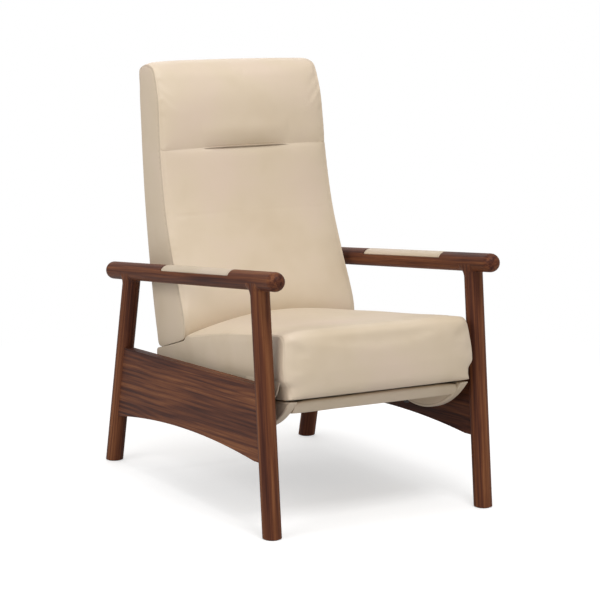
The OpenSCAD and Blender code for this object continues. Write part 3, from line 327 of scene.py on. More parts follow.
# ---------------------------------------------------------------- materials
class Graph:
    """A short way to write the nodes of a material or the world."""

    def __init__(self, owner):
        owner.use_nodes = True
        self.owner, self.tree = owner, owner.node_tree
        self.shader = self.tree.nodes.get("Principled BSDF")
        self.out = self.tree.nodes.get("Material Output") or self.tree.nodes.get("World Output")

    @classmethod
    def material(cls, name):
        return cls(bpy.data.materials.new(name))

    def node(self, kind, inputs=None, **settings):
        n = self.tree.nodes.new("ShaderNode" + kind)
        for key, value in settings.items():
            setattr(n, key, value)
        for key, value in (inputs or {}).items():
            self.put(n.inputs[key], value)
        return n

    def put(self, socket, value):
        if isinstance(value, bpy.types.NodeSocket):
            self.tree.links.new(value, socket)
        else:
            socket.default_value = value

    def set(self, **values):
        for key, value in values.items():
            self.put(self.shader.inputs[key.replace("_", " ")], value)

    def place(self):
        return self.node("TexCoord").outputs["Object"]

    def math(self, operation, a, b=0.0, clamp=False):
        return self.node("Math", {0: a, 1: b}, operation=operation, use_clamp=clamp).outputs[0]

    def total(self, *terms):
        """Sum of values, each given with its weight."""
        parts = [self.math("MULTIPLY", value, weight) for value, weight in terms]
        out = parts[0]
        for part in parts[1:]:
            out = self.math("ADD", out, part)
        return out

    def stretched(self, u, v, w, scales):
        """A vector of three coordinates, each scaled."""
        x, y, z = (self.math("MULTIPLY", c, s) for c, s in zip((u, v, w), scales))
        return self.node("CombineXYZ", {"X": x, "Y": y, "Z": z}).outputs[0]

    def ramp(self, factor, stops):
        n = self.node("ValToRGB", {"Fac": factor})
        while len(n.color_ramp.elements) > 1:
            n.color_ramp.elements.remove(n.color_ramp.elements[-1])
        for i, (at, color) in enumerate(stops):
            e = n.color_ramp.elements[0] if i == 0 else n.color_ramp.elements.new(at)
            e.position = at
            e.color = (*color, 1.0)
        return n.outputs["Color"]

    def mix(self, factor, a, b, blend="MIX"):
        n = self.node("Mix", data_type="RGBA", blend_type=blend)
        self.put(n.inputs[0], factor)
        for socket, value in ((n.inputs[6], a), (n.inputs[7], b)):
            self.put(socket, value if isinstance(value, bpy.types.NodeSocket) else (*value, 1.0))
        return n.outputs[2]

    def noise(self, vector, scale, detail=2.0, roughness=0.5, distortion=0.0):
        n = self.node("TexNoise", {"Vector": vector, "Scale": scale, "Detail": detail,
                                   "Roughness": roughness, "Distortion": distortion})
        return n.outputs["Fac"]

    def span(self, value, low, high):
        n = self.node("MapRange", {"Value": value, "To Min": low, "To Max": high})
        return n.outputs["Result"]

    def bump(self, height, strength, distance, normal=None):
        n = self.node("Bump", {"Height": height, "Strength": strength, "Distance": distance})
        if normal is not None:
            self.put(n.inputs["Normal"], normal)
        return n.outputs["Normal"]


def srgb(r, g, b):
    """A colour given in 0-255 screen values, as the linear values that the shader takes."""
    shares = [c / 255 for c in (r, g, b)]
    return tuple(c / 12.92 if c <= 0.04045 else ((c + 0.055) / 1.055) ** 2.4 for c in shares)


def leather_material(name, tone):
    """Smooth cream leather: clouded colour, pebble, pores and slight wrinkles, darkened in its creases and seams
    by painted shade.
    """
    g = Graph.material(name)
    place = g.place()
    low, middle, high = (tuple(part * tone for part in srgb(*color))
                         for color in ((211, 192, 164), (219, 201, 176), (222, 202, 182)))
    broad = g.noise(place, 4.5, 3.0, 0.55)
    color = g.ramp(broad, [(0.30, low), (0.5, middle), (0.72, high)])
    fine = g.noise(place, 420.0, 3.0, 0.6)
    color = g.mix(g.span(fine, 0.0, 0.10), color, srgb(188, 165, 136))
    crease_shade = g.node("Attribute", attribute_name="crease_shade").outputs["Fac"]
    # painted shade: the crease attribute darkens the colour in seams, grooves and the headrest tuck
    color = g.mix(g.math("MULTIPLY", crease_shade, 0.8, clamp=True), color, srgb(126, 104, 82))
    pebble = g.node("TexVoronoi", {"Vector": place, "Scale": 760.0, "Randomness": 1.0},
                    feature="F1").outputs["Distance"]
    pores = g.noise(place, 1500.0, 2.0, 0.6)
    wrinkle = g.noise(place, 60.0, 4.0, 0.62, 0.4)
    normal = g.bump(pebble, 0.22, 0.00035)
    normal = g.bump(pores, 0.10, 0.0002, normal)
    normal = g.bump(wrinkle, 0.10, 0.0012, normal)
    g.set(Base_Color=color, Roughness=g.span(g.noise(place, 38.0, 3.0), 0.44, 0.58), Normal=normal)
    g.set(Specular_IOR_Level=0.55, Sheen_Weight=0.05, Sheen_Roughness=0.5,
          Coat_Weight=0.12, Coat_Roughness=0.42)
    return g.owner


def wood_axes(g, along, across):
    """Coordinates along the grain and the two ways across it, in metres."""
    place = g.place()
    third = Vector(along).cross(Vector(across)).normalized()
    return [g.node("VectorMath", {0: place, 1: tuple(d)}, operation="DOT_PRODUCT").outputs["Value"]
            for d in (Vector(along).normalized(), Vector(across).normalized(), third)]


def walnut_material(name, along, seed, figure, dark):
    """Walnut with its grain along one direction: figure, streaks, pores and a satin finish."""
    g = Graph.material(name)
    u, v, w = wood_axes(g, along, (1, 0, 0))

    def field(lengthwise, across, shift, detail=3.0, rough=0.55, twist=0.0):
        vec = g.stretched(u, v, w, (lengthwise, across, across))
        vec = g.node("VectorMath", {0: vec, 1: (shift + seed, seed * 1.7, shift * 0.7)},
                     operation="ADD").outputs["Vector"]
        return g.noise(vec, 1.0, detail, rough, twist)

    # growth lines: bands across the grain, bent by a slow field
    slow = field(1.7, 6.0, 3.1, 2.0, 0.5)
    rings = g.total((w, 58.0), (v, 40.0), (slow, 3.4 * figure), (field(2.6, 34.0, 7.7, 3.0, 0.6), 1.6))
    wave = g.math("SINE", g.math("MULTIPLY", rings, 6.2832))
    bands = g.node("MapRange", {"Value": wave, "From Min": -1.0, "From Max": 1.0}).outputs["Result"]
    broad = field(1.5, 30.0, 11.0, twist=0.4)
    lines = field(2.2, 150.0, 5.0, 4.0, 0.65, 0.3)
    streaks = field(4.5, 330.0, 5.0, 3.0, 0.6, 0.2)
    hair = field(22.0, 900.0, 2.0, 2.0, 0.6)
    tone = g.total((broad, 0.72), (bands, 0.05 + 0.05 * figure), (lines, 0.62), (streaks, 0.52))
    tone = g.math("SUBTRACT", tone, 0.455 + dark)
    color = g.ramp(tone, [(0.24, srgb(50, 25, 20)), (0.38, srgb(72, 39, 29)), (0.50, srgb(92, 52, 35)),
                          (0.62, srgb(112, 67, 42)), (0.78, srgb(136, 88, 56))])
    pores = g.math("GREATER_THAN", hair, 0.65)
    color = g.mix(g.math("MULTIPLY", pores, 0.35), color, srgb(44, 22, 16))
    normal = g.bump(hair, 0.16, 0.0003)
    normal = g.bump(streaks, 0.10, 0.0006, normal)
    g.set(Base_Color=color, Roughness=g.span(streaks, 0.42, 0.56), Normal=normal, Specular_IOR_Level=0.12)
    return g.owner


def beech_material(name, along=(1, 0, 0), across=(0, 1, 0)):
    """Plain sanded beech with fine flecks."""
    g = Graph.material(name)
    vec = g.stretched(*wood_axes(g, along, across), (7.0, 120.0, 120.0))
    grain = g.noise(vec, 1.0, 4.0, 0.6)
    fleck = g.noise(vec, 5.0, 2.0, 0.5)
    color = g.ramp(grain, [(0.3, srgb(190, 156, 112)), (0.55, srgb(212, 180, 136)), (0.8, srgb(224, 196, 154))])
    color = g.mix(g.math("MULTIPLY", g.math("GREATER_THAN", fleck, 0.63), 0.35), color, srgb(158, 118, 80))
    g.set(Base_Color=color, Roughness=g.span(grain, 0.55, 0.7), Normal=g.bump(grain, 0.15, 0.0004))
    return g.owner


def steel_material(name, color, metallic, rough):
    """Coated or plated steel with fine brush lines and faint spots."""
    g = Graph.material(name)
    place = g.place()
    stretch = g.node("Mapping", {"Vector": place, "Scale": (40.0, 900.0, 900.0)})
    lines = g.noise(stretch.outputs[0], 1.0, 3.0, 0.6)
    spots = g.noise(place, 55.0, 4.0, 0.65)
    shade = g.mix(g.span(spots, 0.0, 0.5), color, tuple(c * 0.72 for c in color))
    roughness = g.math("ADD", g.span(lines, rough - 0.08, rough + 0.08), g.span(spots, -0.05, 0.08))
    g.set(Base_Color=shade, Roughness=roughness, Normal=g.bump(lines, 0.06, 0.0002), Metallic=metallic)
    return g.owner


def plastic_material(name):
    g = Graph.material(name)
    place = g.place()
    grain = g.noise(place, 700.0, 3.0, 0.6)
    color = g.ramp(g.noise(place, 30.0, 2.0), [(0.3, srgb(30, 30, 31)), (0.7, srgb(44, 43, 42))])
    g.set(Base_Color=color, Roughness=g.span(grain, 0.5, 0.65), Normal=g.bump(grain, 0.2, 0.0002))
    return g.owner


def cloth_material(name, dark, light, pitch=0.0011):
    """Plain weave: crossing threads from two sine fields, pitch metres apart."""
    g = Graph.material(name)
    place = g.place()
    x, y, z = g.node("SeparateXYZ", {0: place}).outputs
    turn = 2 * math.pi / pitch
    warp = g.math("SINE", g.math("MULTIPLY", x, turn))
    weft = g.math("SINE", g.math("MULTIPLY", g.math("ADD", y, z), turn))
    weave = g.node("Math", {0: g.math("MULTIPLY", warp, weft), 1: 0.5, 2: 0.5},
                   operation="MULTIPLY_ADD").outputs[0]
    fuzz = g.noise(place, 260.0, 3.0, 0.7)
    color = g.mix(weave, dark, light)
    color = g.mix(g.span(fuzz, 0.0, 0.3), color, tuple(c * 0.6 for c in dark))
    g.set(Base_Color=color, Roughness=g.span(fuzz, 0.82, 0.95), Normal=g.bump(weave, 0.35, 0.0003),
          Sheen_Weight=0.15)
    return g.owner


def assign(obj, material):
    obj.data.materials.clear()
    obj.data.materials.append(material)


# the bars' ends, y and z in mm, and the directions of their grain
FRONT_FOOT, FRONT_TOP = (-426.5, 0.0), (-368.5, 591.9)
REAR_FOOT, REAR_TOP = (442.0, 0.0), (314.5, 517.9)
RAIL_FRONT, RAIL_REAR, RAIL_X = (-442.5, 597.5), (423.0, 506.5), 290.0
PANEL_TILT = math.radians(3.1)


def direction(start, end):
    return Vector((0, end[0] - start[0], end[1] - start[1])).normalized()


FRONT_UP, REAR_UP = direction(FRONT_FOOT, FRONT_TOP), direction(REAR_FOOT, REAR_TOP)
RAIL_DIR = direction(RAIL_FRONT, RAIL_REAR)
PANEL_DIR = Vector((0, math.cos(PANEL_TILT), -math.sin(PANEL_TILT)))

for name, along, seed, figure, dark in (
        ("right_front_leg", FRONT_UP, 1.3, 0.35, -0.02),
        ("left_front_leg", FRONT_UP, 4.1, 0.35, -0.02),
        ("right_rear_leg", REAR_UP, 7.2, 0.35, 0.02),
        ("left_rear_leg", REAR_UP, 9.4, 0.35, -0.01),
        ("right_arm_rail", RAIL_DIR, 2.6, 0.5, 0.0),
        ("left_arm_rail", RAIL_DIR, 6.0, 0.5, 0.0),
        ("right_side_panel", PANEL_DIR, 3.3, 1.5, 0.06),
        ("left_side_panel", PANEL_DIR, 8.8, 1.5, 0.08)):
    assign(nodes[name], walnut_material("walnut_" + name, along, seed, figure, dark))

by_slot = {"beech": beech_material("beech_across"),
           "black_steel": steel_material("black_steel", srgb(42, 42, 44), 0.0, 0.42),
           "zinc_steel": steel_material("zinc_steel", srgb(172, 174, 178), 1.0, 0.36),
           "nylon": plastic_material("nylon"),
           "cloth": cloth_material("webbing", srgb(38, 37, 36), srgb(78, 76, 72), 0.0022)}
for part in frame["record"]["subparts"]:
    if part["material_slot"] in by_slot:
        assign(nodes[part["node"]], by_slot[part["material_slot"]])
beech_lengthwise = beech_material("beech_along", (0, 1, -0.12), (1, 0, 0))
for name in ("seat_side_rails", "panel_dowels"):
    assign(nodes[name], beech_lengthwise)
assign(nodes["back_stiles"], beech_material("beech_up", (0, 0.17, 1), (1, 0, 0)))

# ---------------------------------------------------------------- seat cushion
SEAT_L, SEAT_T, STEP_A, BOX_OUT = 705.0, 150.0, 533.0, 244.0   # length, height, start of the ledge, half width
SEAT_CROWN, SIDE_CROWN, SEAT_ROUND = 10.0, 1.2, 22.0    # swell of top and sides, rounding between them
SEAT_END_TURNS, SEAT_SEAM_TURN = (10, 20, 30, 39, 47, 54, 61, 68, 75, 82, 90), 61       # degrees round an end
BASE_T = 146.0                                          # thickness of the back's foot, which stands on the ledge
LEDGE_FRONT = BACK_FOOT[1] + 0.04 * BASE_T - 1.8
LEDGE_REAR = LEDGE_FRONT - 25
SLOT_IN, SLOT_OUT, SLOT_TOP = 246.8, 255.2, 36.0        # room beside the seat box for the links


def seat_outline():
    return (arc((8, 10.5), 8, 180, 270, 6) + [(200, 0), (450, 0)] + arc((SEAT_L - 12, 12), 12, 270, 360, 6)
            + arc((SEAT_L - 9.5, LEDGE_REAR - 8), 9.5, 0, 80, 8)
            + [(SEAT_L - 55, LEDGE_REAR + 7), (SEAT_L - 105, LEDGE_REAR + 15), (STEP_A + 8, LEDGE_FRONT),
               (STEP_A + 1, LEDGE_FRONT + 5)]
            + arc((STEP_A - 18, SEAT_T - 18), 18, 0, 90, 8)
            + [(400, SEAT_T + 1), (250, SEAT_T + 2), (120, SEAT_T + 1)]
            + arc((SEAT_ROUND, SEAT_T - SEAT_ROUND), SEAT_ROUND, 90, 180, 10) + [(-3, 95), (-4, 60), (-2, 28)])


def step(value, low, high):
    """0 below low, 1 above high, smooth between."""
    s = np.clip((value - low) / (high - low), 0, 1)
    return s * s * (3 - 2 * s)


def seat_shape(outline, x, turn):
    """The seat's outline at a distance x across it. turn is the angle round the rounded end, 0 to 90."""
    a, b = outline[:, 0], outline[:, 1]
    t = min(1.0, abs(x) / BOX_OUT)
    round_off = 1 - math.cos(math.radians(turn))
    crown = SEAT_CROWN * (1 - t ** 3)
    ahead = 1 - step(a, 60, 280)
    top_crown = 6.0 * ahead + crown * (1 - ahead)
    front = step(-a, -70, -8) * (0.25 + 0.75 * step(b, 0, 14))
    top = step(b, 95, 140) * step(-a, -STEP_A - 4, -STEP_A + 50)
    q = outline.copy()
    q[:, 0] += front * (17 * round_off - 0.7 * crown + 4 * t ** 12)
    q[:, 1] -= top * (8 * round_off - top_crown + 2.5 * t ** 12)
    upper = np.clip((b - LEDGE_FRONT - 4) / (SEAT_T - LEDGE_FRONT - 8), 0, 1)
    rise = 15 * (1 - t ** 2.4) * np.clip((a - 150) / 300, 0, 1)
    fall = 17 * t ** 1.8 * np.clip((a - 300) / 230, 0, 1)
    q[:, 1] += upper * (rise - fall)
    return q


def seat_bulge(a, b):
    """How far the side of the cushion swells past its box."""
    fade = 1 - step(a, 330, 600)
    swell = 1 - 0.5 * step(b, 60, 152)
    return (1.2 + (10.5 + 2.5 * (1 - step(a, 40, 160))) * swell) * fade + 0.4 * (1 - fade)


def make_seat():
    """The seat's skin. seam is the distance over the skin from the seam near each end, outwards."""
    outline, _ = resample(seat_outline(), 7.2)
    rings, path = [], []
    inner = BOX_OUT - SEAT_ROUND
    stations = [(x, 0.0, abs(x) - inner) for x in np.linspace(-inner, inner, 61)]
    ends = [(inner + SEAT_ROUND * math.sin(math.radians(d)), d, SEAT_ROUND * math.radians(d))
            for d in SEAT_END_TURNS]
    stations = [(-x, d, p) for x, d, p in reversed(ends)] + stations + ends
    seam_at = math.radians(SEAT_SEAM_TURN) * SEAT_ROUND
    for x, turn, where in stations:
        q = seat_shape(outline, x, turn)
        rings.append(seat_ring_to_world(x, q))
        path.append(np.full(len(q), where - seam_at))
    end_ring = seat_shape(outline, BOX_OUT, 90)

    def place(points, end, away):
        side = (-1, 1)[end] * (BOX_OUT + SIDE_CROWN * (1 - np.exp(-away / 14)))
        return seat_ring_to_world(side, points)

    def mark(points, away):
        return {"seam": SEAT_ROUND * math.pi / 2 - seam_at + away, "ring_a": points[:, 0], "ring_b": points[:, 1]}

    tags = {"seam": np.concatenate(path), "ring_a": np.tile(outline[:, 0], len(rings)),
            "ring_b": np.tile(outline[:, 1], len(rings))}
    obj = loft("seat_cover", rings, tags, ((end_ring, end_ring), CAP_GAP, place, mark))
    co = get_co(obj)
    ra, rb = get_tag(obj, "ring_a"), get_tag(obj, "ring_b")
    x = np.abs(co[:, 0]) / MM
    # the sides swell, apart from the strip beside the links
    room, swell = step(rb, SLOT_TOP - 4, SLOT_TOP + 10), seat_bulge(ra, rb)
    beside = np.minimum(swell, SLOT_IN - BOX_OUT - SIDE_CROWN)
    x += step(x, 196, BOX_OUT) * (room * swell + (1 - room) * beside)
    co[:, 0] = np.sign(co[:, 0]) * x * MM
    set_co(obj, co)
    # held: loosely at the seams, and firmly underneath, at the ledge and beside the links
    seam = get_tag(obj, "seam")
    pin = 0.7 * np.exp(-(seam / 4.0) ** 2)
    pin = np.maximum(pin, np.where(rb < 6, 1.0, 0))
    pin = np.maximum(pin, np.clip((ra - 505) / 25, 0, 1))
    pin = np.maximum(pin, np.where((seam > 0) & (rb < 44) & (ra > 40), 1.0, 0))
    cap = np.where(seam > 0, 1.0, 2.6) * MM
    report["seat"] = puff(obj, pin, 3.2, cap)
    subdivide(obj)
    co, n = get_co(obj), get_normals(obj)
    seam, ra, rb = get_tag(obj, "seam"), get_tag(obj, "ring_a"), get_tag(obj, "ring_b")
    upper = np.clip((rb - 14) / 10, 0, 1) * np.clip((660 - ra) / 40, 0, 1)
    groove = np.exp(-(seam / 1.6) ** 2)
    lips = np.exp(-((np.abs(seam) - 4.2) / 2.4) ** 2)
    pucker = np.exp(-(seam / 13.0) ** 2) * np.sin(co[:, 1] * 2 * math.pi / 0.019 + 3 * waves(co, 5, 6)) \
        * (0.5 + 0.5 * waves(co, 6, 9))
    lift = (-0.5 * groove + 0.15 * lips + 0.15 * pucker) * upper
    lift += 0.7 * waves(co, 11, 3.2, 2) * np.clip((rb - 20) / 40, 0, 1) * (seam < 0)
    set_co(obj, co + n * (lift * MM)[:, None])
    # painted shade along the seam groove, kept faint
    set_tag(obj, "crease_shade", groove * upper * 0.10)
    smooth(obj)
    return obj


def seat_point(x, a, b):
    return seat_ring_to_world(x, np.array([[a, b]]))[0]


def make_side_roll(side):
    """Lower edge of the cushion's side, which hangs over the links with a slot behind it."""
    front, rear, top, inner_top = 34.0, 197.0, 60.0, 46.0
    rings = []
    for a in np.concatenate([[front, 35, 36.5, 39, 42, 46], np.arange(51, 196, 6.0), [rear]]):
        full = BOX_OUT + SIDE_CROWN + float(seat_bulge(a, 30.0))
        corner = max(0.0, 1 - (a - front) / 26)
        outer_x = SLOT_OUT + (full - SLOT_OUT) * math.sqrt(1 - corner ** 2) + 0.05
        low = 7.5 + 34 * float(step(a, 148, rear)) + 33 * corner ** 2
        half = (outer_x - SLOT_OUT) / 2
        loop = [(outer_x - (outer_x - SLOT_OUT + 1.0) * float(step(b, 40, top)) ** 1.5, b)
                for b in np.linspace(top, low + half, 13)]
        loop += [(SLOT_OUT + half + half * math.cos(r), low + half - half * math.sin(r))
                 for r in np.radians([25, 50, 75, 105, 130, 155])]
        loop += [(SLOT_OUT, b) for b in np.linspace(low + half, inner_top, 9)]
        rings.append(np.array([seat_point(side * x, a, b) for x, b in loop]))
    return loft(("seat_roll_left", "seat_roll_right")[side < 0], rings)


# ---------------------------------------------------------------- back cushion
BACK_HALF, BACK_L, MID_T, HEAD_T = 244.5, 694.0, 84.0, 93.0     # half width, length, thicknesses
SEAM = (MID_T - 3.6, 475.0)                             # headrest seam, forward and up
SEAM_U = SEAM[1]
BACK_TAPER = 7.0                                        # how much narrower each side is at the top
PLEAT_HALF = 122.0
EDGE_ROUND, CORNER_ROUND, REAR_ROUND = 14.0, 22.0, 2.2
OUTSIDE_LOW, OUTSIDE_HIGH, OUTSIDE_DEPTH = 14.0, BACK_L - 62, 4.5       # recess of the outside panel
LEAN = ((0, 100, 200, 305, 416, 511, 590, 660, 700), (-1.3, -1.3, -0.3, 1, 1.7, 2.3, 3.2, 4.3, 4.6))
BOW = np.array(spline([(-9.5, 8), (-14.5, 60), (-18, 130), (-20, 204), (-21.3, 260), (-21.8, 320),
                       (-21, 383), (-18.6, 440), (-16, 490), (-12.4, 540), (-9, 596), (-6, 640)], 6))


def back_bow(u):
    """How far forward of a flat board the back's rear face stands: negative, because it bows out."""
    return np.interp(u, BOW[:, 1], BOW[:, 0])


def back_outline():
    front = spline([(BASE_T, 2), (BASE_T + 6, 34), (BASE_T + 3, 66), (BASE_T - 6.5, 105), (BASE_T - 32, 195),
                    (MID_T + 7, 305), (MID_T - 1, 400), (MID_T - 2.5, SEAM_U - 4)], 8)
    head = spline([(MID_T - 2, SEAM_U + 4), (MID_T + 2.5, SEAM_U + 75), (MID_T + 4, BACK_L - 104),
                   (MID_T + 1.5, BACK_L - 60), (MID_T - 4, BACK_L - 30), (HEAD_T - 24, BACK_L - 10),
                   (HEAD_T / 2 - 8, BACK_L + 2.6), (10, BACK_L + 0.5), (-2.5, BACK_L - 10), (-5, BACK_L - 48)], 8)
    rear = [(float(back_bow(u)), u) for u in np.linspace(BACK_L - 62, 24, 42)]
    return ([(-10.3, 5), (-8, -7), (-2, -14.5), (7, -17), (18, -17), (30, -15.5), (60, -11.5), (110, -6),
             (BASE_T - 7, -1)] + front + [SEAM] + head + rear)


def back_soft(p):
    """How much each point of the outline swells, 0 to 1."""
    v, u = p[:, 0], p[:, 1]
    low = 0.15 + 0.85 * np.clip(u / 60, 0, 1)
    high = 1 - 0.5 * np.clip((u - (BACK_L - 90)) / 40, 0, 1)
    front = np.where(u < 1, 0, np.minimum(low, high))
    return np.where(v < 30, np.where(u > BACK_L - 30, 0.3, 0), front) * np.clip(v / 30, 0.3, 1)


def back_taper(v, u):
    """Share of the full half width at a point of the side: less towards the head, and least along its front."""
    lean = np.interp(u, *LEAN)
    slope = BACK_TAPER * np.maximum(0, u - 200) / (BACK_L - 200)
    return 1 - (slope + lean * np.clip(v / 60, 0, 1)) / BACK_HALF


def quarter(depth, radius):
    """How far a rounded edge has drawn in at a depth from its end."""
    s = np.clip(1 - depth / radius, 0, 1)
    return 1 - np.sqrt(1 - s ** 2)


def make_back():
    """The back's skin. side is the distance from the side seam, head the one above the headrest seam."""
    points = back_outline()
    seam_place = place_of(points, SEAM)
    outline, along = resample(points, 7.0, near=[(seam_place, 10, 1.6)])
    normal = normals_2d(outline)
    v, u = outline[:, 0], outline[:, 1]
    soft = back_soft(outline)
    head = along - seam_place
    rear = (v < 0) & (u > 4) & (u < BACK_L - 40)
    top = np.clip((u - BACK_L + 80) / 60, 0, 1)
    recess = step(u, OUTSIDE_LOW, OUTSIDE_LOW + 10) * (1 - step(u, OUTSIDE_HIGH - 8, OUTSIDE_HIGH))
    xs = np.concatenate([np.linspace(0, 210, 30),
                         [216, 221.5, 226.5, 231, 234.8, 238, 240.4, 242.2, 243.6, BACK_HALF]])
    rings, side = [], []
    for x in np.concatenate([-xs[:0:-1], xs]):
        edge = BACK_HALF - abs(x)
        crown = (7.5 * (1 - quarter(edge, EDGE_ROUND)) + 8.0 * (1 - (abs(x) / BACK_HALF) ** 3)) * soft
        drop = 0.16 * CORNER_ROUND * quarter(edge, CORNER_ROUND) * top
        q = outline + normal * (crown - drop)[:, None]
        well = min(1.0, max(0.0, (edge - 8.0) / 3.0)) * recess
        q[:, 0] += np.where(rear, REAR_ROUND * quarter(edge, REAR_ROUND) + OUTSIDE_DEPTH * well, 0)
        rings.append(back_ring_to_world(x * back_taper(q[:, 0], q[:, 1]), q))
        side.append(np.full(len(q), -edge))
    end_ring = q

    def place(points, end, away):
        half = BACK_HALF * back_taper(points[:, 0], points[:, 1]) + 1.4 * (1 - np.exp(-away / 12))
        return back_ring_to_world((-1, 1)[end] * half, points)

    def mark(points, away):
        return {"side": away, "head": points[:, 1] - SEAM_U, "ring_v": points[:, 0], "ring_u": points[:, 1]}

    count = len(rings)
    tags = {"side": np.concatenate(side), "head": np.tile(head, count),
            "ring_v": np.tile(v, count), "ring_u": np.tile(u, count)}
    obj = loft("back_cover", rings, tags, ((end_ring, end_ring), CAP_GAP, place, mark))
    side_, head_ = get_tag(obj, "side"), get_tag(obj, "head")
    rv, ru = get_tag(obj, "ring_v"), get_tag(obj, "ring_u")
    pin = np.exp(-(side_ / 3.0) ** 2)
    pin = np.maximum(pin, np.exp(-(head_ / 4.0) ** 2))
    pin = np.maximum(pin, np.where((rv < 16) & (ru < BACK_L - 30), 1.0, 0))
    pin = np.maximum(pin, np.clip((30 - ru) / 26, 0, 1))
    cap = np.where(side_ > 0, 1.2, 6.0) * MM
    report["back"] = puff(obj, pin, 3.0, cap)
    subdivide(obj)
    co, n = get_co(obj), get_normals(obj)
    side_, head_ = get_tag(obj, "side"), get_tag(obj, "head")
    rv, ru = get_tag(obj, "ring_v"), get_tag(obj, "ring_u")
    x = co[:, 0] / MM
    front = np.clip((rv - 20) / 15, 0, 1) * np.clip((ru + 4) / 6, 0, 1)
    over_top = np.clip((ru - (BACK_L - 60)) / 20, 0, 1)
    edge = np.maximum(front, over_top)
    # side seam: a sewn edge with a narrow welt
    groove = np.exp(-((side_ - 0.6) / 1.1) ** 2) * edge
    welt = np.exp(-((side_ + 2.6) / 1.5) ** 2) * edge
    hollow = np.exp(-((side_ + 7.5) / 4.0) ** 2) * edge
    pucker = np.exp(-((side_ + 6) / 12.0) ** 2) * (side_ < 2) \
        * np.sin(ru * 2 * math.pi / 21 + 3 * waves(co, 21, 5)) * (0.5 + 0.5 * waves(co, 22, 8))
    lift = -1.5 * groove + 0.5 * welt - 0.5 * hollow + 0.25 * pucker * edge
    # headrest seam: shallow at the sides, a deep tuck in the middle
    tuck = np.clip(1 - (np.abs(x) / PLEAT_HALF) ** 4, 0, 1) ** 0.7 * (rv > 40)
    face = (rv > 40) * (side_ < 0)
    across = np.exp(-((head_ - 0.7) / 1.0) ** 2) * face * (head_ > -0.3)
    lift -= across * (0.3 + 1.6 * tuck)
    # below it the panel starts with a proud lip, above it the headrest curls in
    drop = np.clip(-head_, 0, None)
    lift += face * (head_ < 0) * (2.0 * (1 - np.exp(-drop / 1.6)) * np.exp(-(drop / 34) ** 2)) * tuck
    over = np.clip(head_, 0, None)
    curl = 2.6 * np.exp(-((over - 44) / 24.0) ** 2) - 5.2 * np.exp(-(over / 15.0) ** 1.4)
    lift += face * (head_ >= 0) * curl * (0.12 + 0.88 * tuck)
    between_seams = np.clip(-side_ / 40, 0, 1) * np.clip(np.abs(head_) / 30, 0, 1)
    lift += 0.9 * waves(co, 31, 2.6, 2) * front * between_seams
    set_co(obj, co + n * (lift * MM)[:, None])
    # painted shade in the side seam's groove and the headrest slit, darkest at the tuck
    set_tag(obj, "crease_shade", np.clip(0.42 * groove + across * (0.04 + 0.96 * tuck), 0, 1))
    smooth(obj)
    return obj


def make_outside_back():
    """Upholstered panel let into the rear of the back, with a welt round it."""
    us = np.linspace(OUTSIDE_LOW + 3, OUTSIDE_HIGH - 4, 86)
    bow = back_bow(us)
    half = BACK_HALF * back_taper(0, us) - 7.0
    near_edge = np.array([0, 0.3, 0.8, 1.5, 2.4, 3.3, 4.2, 5.1, 6, 6.9, 8, 10, 14, 19, 25, 32])
    columns = [e - half for e in near_edge] + [share * half for share in np.linspace(-0.84, 0.84, 31)] \
        + [half - e for e in near_edge[::-1]]
    ends = np.minimum(us - us[0], us[-1] - us)
    rings, crease_shade = [], []
    for x in columns:
        edge = np.minimum(half - np.abs(x), ends + 0.4)
        tight = REAR_ROUND * quarter(edge, REAR_ROUND)
        groove = np.exp(-((edge - 6.0) / 1.3) ** 2)
        welt = 1.2 * np.exp(-((edge - 2.6) / 1.6) ** 2) - 0.7 * groove
        puffed = 1.6 * np.clip(edge / 60, 0, 1) ** 0.5
        outer = back_ring_to_world(x, np.column_stack([bow - 0.5 - puffed - welt + tight, us]))
        under = back_ring_to_world(x, np.column_stack([bow + 3.4, us]))
        rings.append(np.vstack([outer, under[::-1]]))
        # painted shade in the groove inside the welt
        crease_shade.append(np.concatenate([0.5 * groove, np.zeros(len(us))]))
    return loft("outside_back_cover", rings, {"crease_shade": np.concatenate(crease_shade)})


# ---------------------------------------------------------------- arm pads
RAIL_R, PAD_CHORD, PAD_SEAT = 22.5, 8.7, 0.15           # the pad's flat floor stands PAD_SEAT over the rail's
PAD_FRONT_Y, PAD_REAR_Y = -250.0, 109.0
PAD_SEAM, PAD_END_ROUND = 6.5, 5.0


